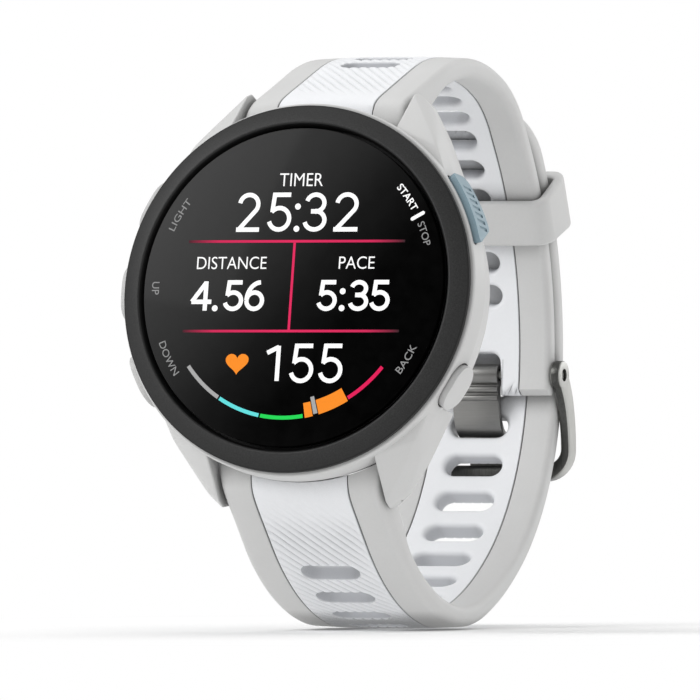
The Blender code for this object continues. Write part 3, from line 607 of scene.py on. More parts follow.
# ---------- strap path
def loop_frame(distance):
    """(back, up, heading) of the loop's outer surface after a distance along it."""
    back, up = LOOP_START
    heading = math.radians(LOOP_HEADING)
    for index, (length, turn) in enumerate(LOOP_ARCS):
        last = index == len(LOOP_ARCS) - 1
        step = distance if last else min(distance, length)
        swing = math.radians(turn) * step / length
        if turn == 0.0:
            back += step * math.cos(heading)
            up += step * math.sin(heading)
        else:
            radius = length / math.radians(turn)
            back += radius * (math.sin(heading + swing) - math.sin(heading))
            up += radius * (math.cos(heading) - math.cos(heading + swing))
        heading += swing
        distance -= step
        if distance <= 0.0:
            break
    return back, up, heading


def loop_point(across, distance, depth):
    back, up, heading = loop_frame(distance)
    back -= depth * math.sin(heading)
    up += depth * math.cos(heading)
    return (across, up, -back)


def width_scale(distance, upper):
    from_lug = LOOP_LENGTH - distance if upper else distance
    scale = 1.0 - STRAP_TAPER * min(max(from_lug / STRAP_TAPER_LENGTH, 0.0), 1.0)
    if not upper and distance > TAIL_END - TIP_LENGTH:
        into_tip = min((distance - TAIL_END + TIP_LENGTH) / TIP_LENGTH, 1.0)
        scale *= 1.0 - TIP_NARROWING * (1.0 - math.sqrt(1.0 - into_tip ** 2))
    return scale


def thickness_at(distance, upper):
    from_lug = LOOP_LENGTH - distance if upper else distance
    share = 1.0 - min(max((from_lug - END_LENGTH) / END_BLEND, 0.0), 1.0)
    return STRAP_THICKNESS + (END_THICKNESS - STRAP_THICKNESS) * share * share * (3 - 2 * share)


def soft_limit(value, limit, softness, slope):
    """The value where it is below the limit, easing to a gentle slope above it."""
    over = (value - limit) / softness
    if over < -20.0:
        return value
    return value - (1.0 - slope) * softness * math.log1p(math.exp(over))


def end_round(distance, upper):
    """How much of the thickness is left at the rounded free end."""
    radius = BUCKLE_END_ROUND if upper else TAIL_ROUND
    into = (BUCKLE_END + radius - distance) if upper else (distance - TAIL_END + radius)
    into = min(max(into / radius, 0.0), 1.0)
    return 0.25 + 0.75 * math.sqrt(1.0 - into * into)


def wrap(point, upper):
    """A flat strap point (across, along, height under the outer surface) on the loop."""
    across, distance, height = point
    middle = -STRAP_THICKNESS / 2
    height = middle + (height - middle) * end_round(distance, upper)
    depth = -height * thickness_at(distance, upper) / STRAP_THICKNESS
    if upper:
        depth += LAYER
    across *= width_scale(distance, upper)
    depth += CROWN * (across / STRAP_HALF_WIDTH) ** 2
    x, y, z = loop_point(across, distance, depth)
    return (x, y, soft_limit(z, STRAP_FRONT, SHOULDER_SOFTNESS, SHOULDER_SLOPE))


def case_clearance():
    """The space the strap's ends leave round the case."""
    return draft("case_clearance", *disc((
        (CASE_PROFILE[0][0] + CASE_GAP, -15.0),
        *((radius + CASE_GAP, height) for radius, height in CASE_PROFILE),
        (CASE_RADIUS + CASE_GAP, 5.0)), 144))


def wrap_mesh(made, upper):
    """Wrap a flat strap draft on the loop, marking the sides of its slots for a painted shade."""
    wall_shade_mask = made.data.attributes.new("recess_shade", "FLOAT", "POINT")
    for vertex, mark in zip(made.data.vertices, wall_shade_mask.data):
        across, _, height = vertex.co
        # mask for the painted shade on the sides of the slots
        inside = ease(height, -0.12, -0.26) * ease(height, -STRAP_THICKNESS, 0.9 - STRAP_THICKNESS)
        mark.value = inside if abs(across) < CORE_HALF_WIDTH - 0.5 else 0.0
        vertex.co = wrap(vertex.co, upper)
    made.data.update()


def ease(value, low, high):
    share = min(max((value - low) / (high - low), 0.0), 1.0)
    return share * share * (3 - 2 * share)


# ---------- straps
def rib_height(across, distance, upper):
    """Diagonal ribs on the outside: round backs with narrow valleys, flat near the lugs."""
    from_lug = LOOP_LENGTH - distance if upper else distance
    share = ease(from_lug, 4.5, 7.0) * 0.75 if upper else ease(from_lug, 3.0, 9.0)
    share *= 1.0 - ease(abs(across), CORE_HALF_WIDTH - 0.9, CORE_HALF_WIDTH - 0.2)
    phase = (distance - RIB_SLOPE * across) / RIB_PERIOD
    return -RIB_DEPTH * share * (1.0 - abs(math.sin(math.pi * phase)))


def flat_core(name, start, finish, upper):
    """The white band laid flat, its rows running along the ribs."""
    columns = (-5.95, -5.87, -5.2, -4.2, -3.0, -1.5, 0.0, 1.5, 3.0, 4.2, 5.2, 5.87, 5.95)
    reach = RIB_SLOPE * CORE_HALF_WIDTH + RIB_PERIOD
    phases = (0.0, 0.09, 0.26, 0.5, 0.74, 0.91)
    first = math.floor((start - reach) / RIB_PERIOD)
    last = math.ceil((finish + reach) / RIB_PERIOD)
    rings = []
    for period in range(first, last):
        for phase in phases:
            ring = []
            for side in (1, -1):
                for across in columns[::side]:
                    along = (period + phase) * RIB_PERIOD + RIB_SLOPE * across
                    edge = 0.10 if abs(across) > 5.9 else 0.0
                    height = rib_height(across, along, upper) - edge
                    if side < 0:
                        height = -STRAP_THICKNESS + edge
                    ring.append((across, along, height))
            rings.append(ring)
    made = draft(name, *loft(rings))
    with reshaping(made.data) as shape:
        for cut, outward in ((start, -1.0), (finish, 1.0)):
            geometry = list(shape.verts) + list(shape.edges) + list(shape.faces)
            result = bmesh.ops.bisect_plane(
                shape, geom=geometry, plane_co=(0.0, cut, 0.0), plane_no=(0.0, outward, 0.0),
                clear_outer=True)
            rim = [item for item in result["geom_cut"] if isinstance(item, bmesh.types.BMEdge)]
            bmesh.ops.edgeloop_fill(shape, edges=rim)
        bmesh.ops.recalc_face_normals(shape, faces=shape.faces)
    return made


def flared_cutter(outline_at, outer_round, inner_round):
    """A cutter through the flat strap that leaves rounded rims on both faces."""
    levels = [(0.6, outer_round)]
    for step in range(4):
        angle = math.pi / 2 * step / 3
        levels.append((outer_round * (math.cos(angle) - 1), outer_round * (1 - math.sin(angle))))
    levels.append((-0.3, 0.0))
    for step in range(7):
        angle = math.pi / 2 * (6 - step) / 6
        levels.append((-STRAP_THICKNESS + inner_round * (1 - math.cos(angle)),
                       inner_round * (1 - math.sin(angle))))
    levels.append((-STRAP_THICKNESS - 0.6, inner_round))
    return loft([[(x, y, height) for x, y in outline_at(offset)] for height, offset in levels])


def slot_cutters(first, pitch, count):
    points, faces = flared_cutter(
        lambda offset: stadium_outline(SLOT_LENGTH + 2 * offset, SLOT_WIDTH + 2 * offset),
        OUTER_RIM, SLOT_INNER_RIM)
    return draft("slot_cutters", *join_shapes([
        ([(x, y + (first + index * pitch), z) for x, y, z in points], faces)
        for index in range(count)]))


def notch_cutter():
    def outline(offset):
        half = NOTCH_HALF_WIDTH + offset
        end = NOTCH_END + offset
        start = BUCKLE_END - 3.0
        return rounded(((-half, start, 0), (half, start, 0), (half, end, 1.3), (-half, end, 1.3)))
    return draft("notch_cutter", *flared_cutter(outline, OUTER_RIM, NOTCH_INNER_RIM))


def flat_rail(name, start, finish, side):
    """One grey rail laid flat: small radii at the core, large ones at the strap's edge."""
    section = rounded((
        (RAIL_INSIDE, -STRAP_THICKNESS, 0.14), (STRAP_HALF_WIDTH, -STRAP_THICKNESS, 0.85),
        (STRAP_HALF_WIDTH, 0.0, 0.95), (RAIL_INSIDE, 0.0, 0.14)), 6)
    rows = max(2, round((finish - start) / RAIL_ROW))
    return draft(name, *loft([
        [(side * x, start + (finish - start) * row / rows, z) for x, z in section]
        for row in range(rows + 1)]))


def make_strap(label, upper):
    start = BUCKLE_END if upper else -RUN_IN
    finish = LOOP_LENGTH + RUN_IN if upper else TAIL_END
    end = 1 if upper else -1
    core = flat_core(f"{label}_strap_core_look", start, finish, upper)
    if upper:
        first = LOOP_LENGTH - UPPER_SLOT_FIRST - (UPPER_SLOTS - 1) * UPPER_SLOT_PITCH
        boolean(core, slot_cutters(first, UPPER_SLOT_PITCH, UPPER_SLOTS))
        boolean(core, notch_cutter())
    else:
        boolean(core, slot_cutters(SLOT_FIRST, SLOT_PITCH, LOWER_SLOTS))
    drafts = [(core, "strap_white", f"{label}_strap_core")]
    for side, word in ((1, "right"), (-1, "left")):
        rail = flat_rail(f"{label}_strap_rail_{word}_look", start, finish, side)
        drafts.append((rail, "strap_grey", f"{label}_strap_rail_{word}"))
    _, *pin = loop_point(0.0, PIN_AT, LAYER + STRAP_THICKNESS / 2)
    bar = (end * BAR_DISTANCE, BAR_HEIGHT)
    for made, look, node in drafts:
        wrap_mesh(made, upper)
        boolean(made, case_clearance())
        boolean(made, cross_rod("bore", BAR_BORE, STRAP_CUT, bar))
        if "left" not in node:
            window = [[(x + KNOB_X - 0.6, y + end * BAR_DISTANCE, z)
                       for x, y in stadium_outline(4.0, 2.4, 8)] for z in (-13.0, BAR_HEIGHT)]
            boolean(made, draft("knob_window", *loft(window)))
        if upper:
            boolean(made, cross_rod("pin_bore", PIN_BORE, STRAP_CUT, pin))
        settle(made, look, angle=40, stands_for=(node,))


# ---------- case and display
def make_bezel():
    profile = rounded((
        (BEZEL_RADIUS, 0.0, 0), (BEZEL_RADIUS, 0.50, 0.15), (19.45, BEZEL_TOP, 0.25),
        (19.25, BEZEL_TOP - 0.15, 0.05), (BEZEL_INNER_RADIUS, 0.7, 0.05),
        (BEZEL_INNER_RADIUS, -0.4, 0),
        (17.0, -0.4, 0), (17.0, -1.2, 0), (20.0, -1.2, 0), (20.0, 0.0, 0)), 4)
    ring = draft("bezel_ring_look", *turned(profile, 192))
    settle(ring, "bezel_black", stands_for=("bezel_ring",))


def make_glass():
    edge = 0.12
    glass = draft("display_glass_look", *disc((
        (GLASS_RADIUS, GLASS_TOP - GLASS_THICKNESS), (GLASS_RADIUS, GLASS_TOP - edge),
        (GLASS_RADIUS - edge * 0.3, GLASS_TOP - edge * 0.3),
        (GLASS_RADIUS - edge, GLASS_TOP)), 192))
    settle(glass, "glass", stands_for=("display_glass",))


def lug_corners(side, end):
    inner = [(LUG_INSIDE, up, height) for up, height in (
        (18.1, -0.9), (19.2, -1.1), (24.0, -5.7), (24.5, -7.0), (24.0, -9.0), (18.1, -9.0))]
    outer = [
        (17.2, 13.0, -1.4), (17.2, 13.0, -8.2), (15.2, 17.3, -2.2), (14.7, 19.0, -5.0),
        (14.4, 19.0, -8.6), (13.6, 20.9, -6.2), (12.5, 22.7, -7.1), (12.3, 22.5, -8.6)]
    return [(side * x, end * up, height) for x, up, height in inner + outer]


def make_lug(side, end):
    mesh = bpy.data.meshes.new("lug")
    with reshaping(mesh) as shape:
        for corner in lug_corners(side, end):
            shape.verts.new(corner)
        bmesh.ops.convex_hull(shape, input=shape.verts)
        bmesh.ops.dissolve_limit(
            shape, angle_limit=math.radians(3), verts=shape.verts, edges=shape.edges)
        bmesh.ops.recalc_face_normals(shape, faces=shape.faces)
    lug = add_object("lug", mesh)
    bevel(lug, 0.5, 4, 12)
    return lug


def start_outline(half, high):
    """The start button's outline: a slab whose lower end slants toward the bezel."""
    return rounded((
        (half - 0.25, high, 0.7), (-half - 0.15, high, 0.5), (-half * 0.52, -high, 0.9),
        (half, -high, 1.1)), 8)


def button_prism(name, angle, length, width, inner, outer):
    """A button's outline bent round the case wall, from one radius out to another."""
    if name == BLUE_BUTTON:
        outline = start_outline(length / 2, width / 2)
    else:
        outline = stadium_outline(length, width)
    rings = []
    for radius in (inner, outer):
        turns = [(math.radians(angle) + along / CASE_RADIUS, up) for along, up in outline]
        rings.append([(radius * math.cos(turn), radius * math.sin(turn), BUTTON_LEVEL + up)
                      for turn, up in turns])
    return draft(name + "_look", *loft(rings))


def make_case():
    profile = rounded((
        (20.9, -7.2, 1.2), (21.4, -5.6, 1.2), (CASE_RADIUS, -3.6, 2.0),
        (CASE_RADIUS, -0.3, 0.28), (20.3, -0.3, 0),
        (20.3, -6.2, 0), (15.0, -6.2, 0), (15.0, -7.2, 0), (20.2, -7.2, 0),
        (20.2, CASE_BACK, 0), (20.45, CASE_BACK, 0.1)), 6)
    body = draft("case_body_look", *turned(profile, 180))
    for side in (1, -1):
        for end in (1, -1):
            boolean(body, make_lug(side, end), "UNION")
    for name, angle, length, width in BUTTONS:
        boolean(body, button_prism(
            name, angle, length + 2 * POCKET_GAP, width + 2 * POCKET_GAP,
            CASE_RADIUS - BUTTON_POCKET, CASE_RADIUS + BUTTON_BLANK))
    for end in (1, -1):
        boolean(body, cross_rod(
            "sockets", SOCKET_RADIUS, SOCKET_REACH, (end * BAR_DISTANCE, BAR_HEIGHT)))
    settle(body, "case_grey", angle=32, stands_for=("case_body",))


def make_button(name, angle, length, width):
    bottom = CASE_RADIUS - 0.1
    top = CASE_RADIUS + BUTTON_PROUD
    blue = name == BLUE_BUTTON
    cap = button_prism(name, angle, length, width, bottom, top + BUTTON_BLANK)
    boolean(cap, draft("crown", *disc(((top, -12.0), (top, 4.0)), 240)), "INTERSECT")
    bevel(cap, 0.32 if blue else 0.45, 4, 50)
    outward = Matrix.Rotation(math.radians(angle), 3, "Z") @ X_AXIS
    level = Vector((0.0, 0.0, BUTTON_LEVEL))
    stem = rod("stem", STEM_RADIUS, outward * STEM_INSIDE + level,
               outward * (bottom + 0.2) + level)
    boolean(cap, stem, "UNION")
    if blue:
        across = Vector((0.0, 0.0, 1.15))
        for number in range(-3, 4):
            turn = Matrix.Rotation(-number * GRIP_PITCH / CASE_RADIUS, 3, "Z")
            spot = turn @ outward * (top + 0.08) + level
            boolean(cap, rod("grip_groove", 0.24, spot - across, spot + across, 16))
    settle(cap, "button_blue" if blue else "case_grey", name, stands_for=(name,))


# ---------- keeper and buckle
def make_keeper():
    """A soft loop of strap material round both layers."""
    half = STRAP_HALF_WIDTH * (1.0 - STRAP_TAPER) + KEEPER_PLAY
    outer = -0.35
    inner = LAYER + STRAP_THICKNESS + CROWN + KEEPER_PLAY
    path = rounded(((-half, outer, 0.8), (half, outer, 0.8), (half, inner, 0.9),
                    (-half, inner, 0.9)), 8)
    section = rounded((
        (0.0, -KEEPER_LENGTH / 2, 0.3), (1.0, -KEEPER_LENGTH / 2, 0.5),
        (1.0, KEEPER_LENGTH / 2, 0.5), (0.0, KEEPER_LENGTH / 2, 0.3)), 5)
    count = len(path)
    rings = []
    for index, (across, depth) in enumerate(path):
        before = Vector(path[index - 1])
        after = Vector(path[(index + 1) % count])
        tangent = (after - before).normalized()
        normal = (tangent.y, -tangent.x)
        share = ease(depth, outer, outer + 2.4)
        wall = KEEPER_OUTER_WALL + (KEEPER_WALL - KEEPER_OUTER_WALL) * share
        ring = []
        for out, along in section:
            ring.append(loop_point(across + normal[0] * out * KEEPER_WALL, KEEPER_AT + along,
                                   depth + normal[1] * out * wall))
        rings.append(ring)
    keeper = draft("keeper_look", *hoop(rings))
    settle(keeper, "strap_grey", "keeper", 50, ("keeper",))


def buckle_point(across, out, along):
    """A point drawn round the buckle pin: outward from the wrist, and along the strap."""
    _, _, heading = loop_frame(PIN_AT)
    x, y, z = loop_point(across, PIN_AT, LAYER + STRAP_THICKNESS / 2)
    y += -math.cos(heading) * out + math.sin(heading) * along
    z += -math.sin(heading) * out - math.cos(heading) * along
    return (x, y, z)


def curve_through(start, middle, finish, count):
    """Points on the quadratic curve that leaves start and reaches finish by middle."""
    shares = [step / count for step in range(count + 1)]
    return [tuple((1 - t) ** 2 * a + 2 * t * (1 - t) * b + t ** 2 * c
                  for a, b, c in zip(start, middle, finish)) for t in shares]


def even_steps(path, step):
    """The same path with points about one step apart."""
    points = [Vector(path[0])]
    for following in path[1:]:
        gap = Vector(following) - points[-1]
        count = max(1, round(gap.length / step))
        start = points[-1]
        points += [start + gap * (number / count) for number in range(1, count + 1)]
    return [tuple(point) for point in points]


def ribbon_outline(line, widths):
    """The closed outline of a band of the given widths along a line."""
    left = []
    right = []
    for index, (out, along) in enumerate(line):
        before = Vector(line[max(index - 1, 0)])
        after = Vector(line[min(index + 1, len(line) - 1)])
        direction = (after - before).normalized()
        half = widths[index] / 2
        left.append((out - direction.y * half, along + direction.x * half))
        right.append((out + direction.y * half, along - direction.x * half))
    return left + right[::-1]


def buckle_plate(name, outline, low, high):
    return draft(name, *loft([
        [buckle_point(x, out, along) for out, along in outline] for x in (low, high)]))


def buckle_rod(name, radius, low, high, out=0.0, along=0.0, steps=40):
    return rod(name, radius, buckle_point(low, out, along), buckle_point(high, out, along), steps)


def make_buckle():
    reach = ARM_INSIDE + ARM_THICKNESS
    arm_line = curve_through((0.0, 0.0), ARM_BOW, FAR_BAR, 40)
    run = [0.0]
    for before, after in zip(arm_line, arm_line[1:]):
        run.append(run[-1] + math.dist(before, after))

    def arm_at(down):
        return np.array([np.interp(down, run, values) for values in zip(*arm_line)])

    middle = ARM_INSIDE + ARM_THICKNESS / 2
    path = rounded(((middle, 0.0, 0), (middle, run[-1], 3.0), (-middle, run[-1], 3.0),
                    (-middle, 0.0, 0)), 10)
    path = even_steps(path, 0.45)
    section = rounded(
        ((-0.6, -1.0, 0.28), (0.6, -1.0, 0.28), (0.6, 1.0, 0.28), (-0.6, 1.0, 0.28)), 3)
    rings = []
    for index, (across, down) in enumerate(path):
        before = Vector(path[max(index - 1, 0)])
        after = Vector(path[min(index + 1, len(path) - 1)])
        side = (after - before).normalized()
        out, along = arm_at(down)
        further = min(down + 0.3, run[-1])
        slope = Vector(arm_at(further) - arm_at(max(further - 0.6, 0.0))).normalized()
        width = 1.2 - 0.25 * down / run[-1]
        ring = []
        for wide, thick in section:
            if wide < 0.0:
                wide *= 1.0 + abs(side.x)
            if thick < 0.0:
                thick *= ARM_FULLNESS
            shift = -wide * side.x
            ring.append(buckle_point(
                across + wide * side.y, out + slope.x * shift - slope.y * thick * width,
                along + slope.y * shift + slope.x * thick * width))
        rings.append(ring)
    buckle = draft("buckle_frame_look", *loft(rings))
    for side in (1, -1):
        low, high = sorted((side * ARM_INSIDE, side * reach))
        eye = buckle_rod("eye", EYE_RADIUS, low, high)
        bevel(eye, 0.22, 3)
        boolean(buckle, eye, "UNION")
    boolean(buckle, buckle_rod("eye_hole", EYE_BORE, -reach - 1, reach + 1))
    settle(buckle, "buckle_steel", "buckle_frame", 30, ("buckle_frame",))

    line = curve_through((-0.2, -0.9), (-0.2, -5.6), (1.9, -6.8), 14)
    line += curve_through((2.3, -6.93), (5.7, -7.9), (6.5, -11.4), 12)
    half = TONGUE_HALF_WIDTH
    tongue = buckle_plate(
        "buckle_tongue_look", ribbon_outline(line, [TONGUE_THICKNESS] * len(line)), -half, half)
    boolean(tongue, buckle_rod("roll", ROLL_RADIUS, -half, half), "UNION")
    for out, along, radius in ((-0.62, -1.75, 0.42), (-0.60, -2.75, 0.36)):
        bead = buckle_rod("bead", radius, -half, half, out, along, 24)
        boolean(tongue, bead, "UNION")
    bevel(tongue, 0.10, 2, 60)
    boolean(tongue, buckle_rod("roll_bore", EYE_BORE, -half - 1, half + 1))
    settle(tongue, "tongue_steel", "buckle_tongue", 30, ("buckle_tongue",))


# ---------- readout
def prism(outline):
    """A thin printed shape on the glass."""
    return loft([[(x, y, height) for x, y in outline]
                 for height in (GLASS_TOP, GLASS_TOP + PRINT_HEIGHT)])


def lettering(text, width, height, weight=0.0):
    """Points and faces of a word, centred, drawn flat at the given size."""
    curve = bpy.data.curves.new("word", "FONT")
    curve.body = text
    curve.extrude = 0.5
    curve.offset = weight
    curve.resolution_u = 6
    source = add_object("word", curve)
    bpy.context.view_layer.update()
    mesh = bpy.data.meshes.new_from_object(
        source.evaluated_get(bpy.context.evaluated_depsgraph_get()))
    bpy.data.objects.remove(source, do_unlink=True)
    with reshaping(mesh) as shape:
        bmesh.ops.remove_doubles(shape, verts=shape.verts, dist=0.0001)
    points = np.array([vertex.co for vertex in mesh.vertices])
    faces = [tuple(face.vertices) for face in mesh.polygons]
    low, high = points.min(axis=0), points.max(axis=0)
    points = (points - (low + high) / 2) / (high - low)
    points *= (width, height, PRINT_HEIGHT)
    points[:, 2] += GLASS_TOP + PRINT_HEIGHT / 2
    return points, faces


def word(text, x, y, width, height, weight=0.0):
    points, faces = lettering(text, width, height, weight)
    return [(px + x, py + y, pz) for px, py, pz in points], faces


def bow(x, y, wide, tall, start, finish):
    """Points on an ellipse between two angles."""
    return [(x + wide * math.cos(math.radians(start + (finish - start) * step / 20)),
             y + tall * math.sin(math.radians(start + (finish - start) * step / 20)))
            for step in range(21)]


# Centre lines of the figures, in a box one unit wide and one unit high
FIGURES = {
    "1": [[(0.98, 0.0), (0.98, 1.0)], [(0.0, 0.80), (1.0, 0.97)]],
    "2": [bow(0.49, 0.725, 0.47, 0.275, 172, -38) + [(0.02, 0.0)], [(-0.1, 0.0), (1.08, 0.0)]],
    "3": [bow(0.47, 0.755, 0.45, 0.245, 165, -90), bow(0.47, 0.265, 0.51, 0.265, 90, -168),
          [(0.26, 0.52), (0.48, 0.52)]],
    "4": [[(0.74, -0.06), (0.74, 1.04)], [(0.74, 1.0), (0.0, 0.27)], [(-0.02, 0.27), (1.08, 0.27)]],
    "5": [[(1.0, 1.0), (0.17, 1.0), (0.09, 0.50)], bow(0.46, 0.31, 0.52, 0.31, 140, -165)],
    "6": [bow(0.88, 0.32, 0.88, 0.68, 92, 180), bow(0.5, 0.31, 0.5, 0.31, 180, -180)],
}
FIGURE_STROKE = 0.52


def stroke(line, width):
    """A printed line of one width, mitred at its corners."""
    rings = []
    for index, point in enumerate(line):
        here = Vector(point)
        before = (here - Vector(line[index - 1])).normalized() if index else None
        after = (Vector(line[index + 1]) - here).normalized() if index < len(line) - 1 else None
        heading = ((before or after) + (after or before)).normalized()
        reach = width / 2 / max(heading.dot(after or before), 0.4)
        side = Vector((-heading.y, heading.x)) * reach
        ring = []
        for spot, height in ((here + side, 0.0), (here - side, 0.0), (here - side, PRINT_HEIGHT),
                             (here + side, PRINT_HEIGHT)):
            ring.append((spot.x, spot.y, GLASS_TOP + height))
        rings.append(ring)
    return loft(rings)


def spot_print(x, y, radius):
    return prism([(x + dx, y + dy) for dx, dy in circle(radius, 24)])


def number_print(marks, x, y, wide, tall):
    """Figures at their own places: each mark is (figure, place across, its width)."""
    pieces = []
    base = y - tall / 2 + FIGURE_STROKE / 2
    rise = tall - FIGURE_STROKE
    for mark, place, share in marks:
        run = wide * share - FIGURE_STROKE
        if mark in ":.":
            pieces.append(spot_print(x + place, base + 0.08, 0.36))
        if mark == ":":
            pieces.append(spot_print(x + place, base + rise * 0.66, 0.36))
        for line in FIGURES.get(mark, ()):
            pieces.append(stroke(
                [(x + place + (px - 0.5) * run, base + py * rise) for px, py in line],
                FIGURE_STROKE))
    return join_shapes(pieces)


def dial_word(text, angle, radius, width, height, tops_out, weight=0.0):
    """A word bent round the dial, its letters' tops facing out or in."""
    points, faces = lettering(text, width, height, weight)
    placed = []
    for x, y, z in points:
        side = 1 if tops_out else -1
        turn = math.radians(angle) - side * x / radius
        reach = radius + side * y
        placed.append((reach * math.cos(turn), reach * math.sin(turn), z))
    return placed, faces


def arc_bar(inner, outer, start, finish):
    steps = max(2, round(abs(finish - start) / 2))
    outline = []
    for radius, order in ((outer, range(steps + 1)), (inner, range(steps, -1, -1))):
        for step in order:
            angle = math.radians(start + (finish - start) * step / steps)
            outline.append((radius * math.cos(angle) - 0.2, radius * math.sin(angle)))
    return prism(outline)


def heart(x, y, width, height):
    outline = []
    for step in range(48):
        t = 2 * math.pi * step / 48
        across = math.sin(t) ** 3
        up = (13 * math.cos(t) - 5 * math.cos(2 * t) - 2 * math.cos(3 * t) - math.cos(4 * t)) / 14.4
        outline.append((x + across * width / 2, y + (up + 0.09) * height / 2))
    return prism(outline)


def box_print(x, y, width, height):
    return prism(((x - width / 2, y - height / 2), (x + width / 2, y - height / 2),
                  (x + width / 2, y + height / 2), (x - width / 2, y + height / 2)))


def tilted_bar(angle, radius, length, width):
    turn = Matrix.Rotation(math.radians(angle), 2)
    outline = [turn @ Vector((x + radius, y)) for x, y in stadium_outline(length, width, 8)]
    return prism([tuple(point) for point in outline])


READOUT = {
    "readout_white": [
        word("TIMER", 0.16, 12.58, 5.40, 1.50, -0.006),
        word("DISTANCE", -7.83, 2.84, 8.70, 1.45, -0.006),
        word("PACE", 7.78, 2.84, 4.44, 1.45, -0.006),
        number_print((("2", -6.14, 1.0), ("5", -2.21, 1.0), (":", -0.05, 1.0), ("3", 2.21, 1.0),
                      ("2", 6.08, 1.04)), 0.0, 8.78, 2.95, 4.60),
        number_print((("4", -3.30, 1.12), (".", -1.50, 1.0), ("5", 0.79, 1.0), ("6", 3.38, 1.0)),
                     -8.08, -1.0, 2.48, 3.63),
        number_print((("5", -3.30, 1.0), (":", -1.44, 1.0), ("3", 0.62, 1.0), ("5", 3.28, 1.0)),
                     7.71, -1.0, 2.48, 3.63),
        number_print((("1", -3.95, 0.66), ("5", -0.21, 1.0), ("5", 3.42, 1.0)),
                     2.06, -8.93, 2.95, 4.62),
        dial_word("START", 37.7, 17.15, 3.6, 0.88, True, 0.012),
        tilted_bar(29.0, 17.1, 1.9, 0.42)],
    "readout_grey": [
        dial_word("LIGHT", 150.0, 17.1, 4.1, 0.80, True),
        dial_word("UP", 180.4, 17.2, 1.5, 0.90, False),
        dial_word("DOWN", 209.2, 17.15, 4.35, 0.85, False),
        dial_word("STOP", 21.3, 17.1, 2.9, 0.88, True),
        dial_word("BACK", -29.7, 17.0, 3.6, 0.9, False)],
    "readout_rule": [
        box_print(0.1, 5.36, 27.0, 0.30), box_print(0.1, -5.15, 27.0, 0.30),
        box_print(-0.14, 0.1, 0.30, 10.2)],
    "readout_silver": [arc_bar(15.05, 15.5, 217.2, 237.6), arc_bar(13.3, 15.35, 284.6, 286.6)],
    "readout_cyan": [arc_bar(15.05, 15.5, 238.4, 258.8)],
    "readout_green": [arc_bar(15.05, 15.5, 259.6, 279.6)],
    "readout_orange": [
        arc_bar(13.8, 15.55, 280.5, 284.2), arc_bar(13.8, 15.55, 287.0, 301.2),
        heart(-6.31, -8.95, 2.87, 2.46)],
    "readout_crimson": [arc_bar(15.0, 15.45, 301.8, 322.2)],
}


make_bezel()
make_glass()
make_case()
for button in BUTTONS:
    make_button(*button)
make_strap("lower", False)
make_strap("upper", True)
make_keeper()
make_buckle()
for look, shapes in READOUT.items():
    settle(draft(look, *join_shapes(shapes)), look, angle=30)

# ---------- carried-over CAD nodes
CARRIED_LOOKS = (
    ("charge_contact", "gold"), ("gps_antenna", "copper"), ("beeper", "copper"),
    ("battery", "cell"), ("_board", "board"), ("_seal", "seal"), ("_gasket", "seal"),
    ("display_panel", "panel"), ("back_cover", "case_grey"), ("sensor_window", "glass"))

for node, part in frame["nodes"].items():
    looks = [look for mark, look in CARRIED_LOOKS if mark in node] or ["steel"]
    part.data.materials.clear()
    part.data.materials.append(LOOKS[looks[0]])

# ---------- studio
FLOOR_SIZE = 12.0
FLOOR_GREY = 0.93
FLOOR_SHADOW = (0.028, 0.085)        # distances between which the floor turns plain white
FLOOR_BOUNCE = 0.45                  # share of its light that reaches the watch unshadowed
AMBIENT = 0.45
CENTRE = (0.0, 0.01, 0.0)
SENSOR = 36.0
VIEW_AZIMUTH = math.radians(22.6)
VIEW_WIDTH = 80.65 * MM
VIEW_DISTANCE = 1.6
VIEW_RIGHT = 6.06 * MM
VIEW_DOWN = 7.0 * MM


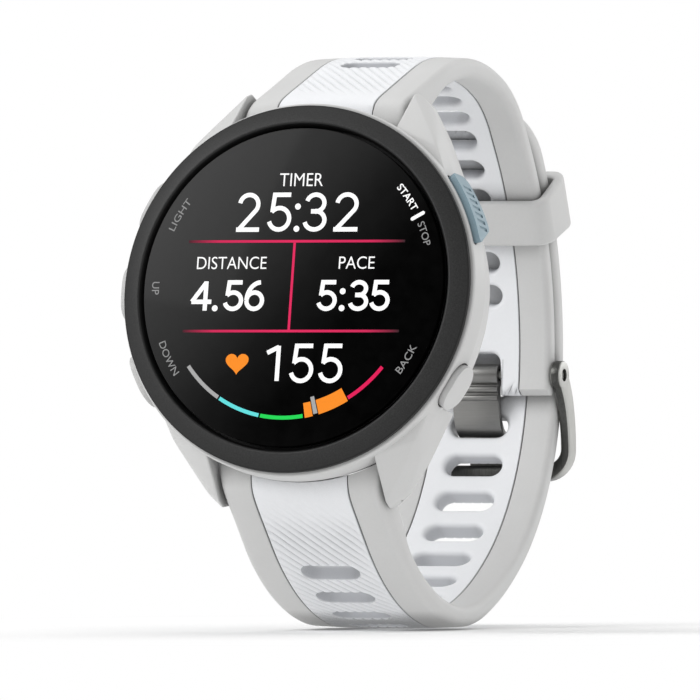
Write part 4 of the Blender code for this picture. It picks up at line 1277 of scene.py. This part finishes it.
def studio_floor():
    """A pale floor that brightens to plain white in the camera's sight away from the watch."""
    mesh = bpy.data.meshes.new("studio_floor")
    with reshaping(mesh) as shape:
        bmesh.ops.create_grid(shape, x_segments=1, y_segments=1, size=FLOOR_SIZE / 2)
    floor = add_object("studio_floor", mesh)
    lowest = Vector(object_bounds()[0]).z
    floor.location = (CENTRE[0], CENTRE[1], lowest - 0.1 * MM)
    paper = Recipe("studio_floor", 0.9, specular=0.0)
    paper.colour(paper.ramp(
        paper.noise(3.0, 2.0), (0.3, FLOOR_GREY * 0.995), (0.7, FLOOR_GREY)))
    distance = paper.node("VectorMath", "Value", {0: paper.place}, operation="LENGTH")
    camera_ray = paper.node("LightPath", "Is Camera Ray")
    plain = paper.node("Mix", 0, {
        0: camera_ray, 2: FLOOR_BOUNCE, 3: paper.range_of(distance, *FLOOR_SHADOW, True)},
        data_type="FLOAT")
    surface = paper.node("MixShader", "Shader", {
        0: plain, 1: paper.shader.outputs["BSDF"], 2: paper.node("Emission", "Emission")})
    paper.feed(paper.tree.nodes["Material Output"], {"Surface": surface})
    floor.data.materials.append(paper.material)
    floor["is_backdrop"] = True


def softbox(name, spot, size, power):
    light = bpy.data.lights.new(name, "AREA")
    light.shape = "RECTANGLE"
    light.size, light.size_y = size
    light.energy = power
    made = add_object(name, light)
    made.location = spot
    made.rotation_euler = (Vector(CENTRE) - Vector(spot)).to_track_quat("-Z", "Y").to_euler()


def backdrop():
    """Plain white in the camera's sight, dimmer as the light that falls on the watch."""
    world = bpy.data.worlds.new("studio")
    bpy.context.scene.world = world
    world.use_nodes = True
    tree = world.node_tree
    sky = tree.nodes["Background"]
    sky.inputs["Color"].default_value = (1.0, 1.0, 1.0, 1.0)
    sight = tree.nodes.new("ShaderNodeLightPath")
    level = tree.nodes.new("ShaderNodeMapRange")
    level.inputs["To Min"].default_value = AMBIENT
    tree.links.new(sight.outputs["Is Camera Ray"], level.inputs["Value"])
    tree.links.new(level.outputs["Result"], sky.inputs["Strength"])


def place_camera():
    back = Vector((math.sin(VIEW_AZIMUTH), -math.cos(VIEW_AZIMUTH), 0.0))
    right = Vector((math.cos(VIEW_AZIMUTH), math.sin(VIEW_AZIMUTH), 0.0))
    data = bpy.data.cameras.new("camera")
    data.sensor_width = SENSOR
    data.lens = SENSOR * VIEW_DISTANCE / VIEW_WIDTH
    data.clip_end = 20.0
    camera = add_object("camera", data)
    camera.location = (
        SEAT + right * VIEW_RIGHT - Vector((0.0, 0.0, VIEW_DOWN)) + back * VIEW_DISTANCE)
    camera.rotation_euler = (-back).to_track_quat("-Z", "Y").to_euler()
    bpy.context.scene.camera = camera


studio_floor()
softbox("key_light", (-0.52, -0.42, 0.40), (0.45, 0.45), 3.1)
softbox("fill_light", (0.55, -0.35, 0.20), (0.40, 0.60), 0.7)
softbox("top_light", (-0.02, 0.15, 0.65), (0.60, 0.60), 1.8)
softbox("rim_light", (0.30, 0.60, 0.25), (0.50, 0.50), 1.2)
backdrop()
place_camera()
bpy.context.scene.view_settings.view_transform = "Standard"
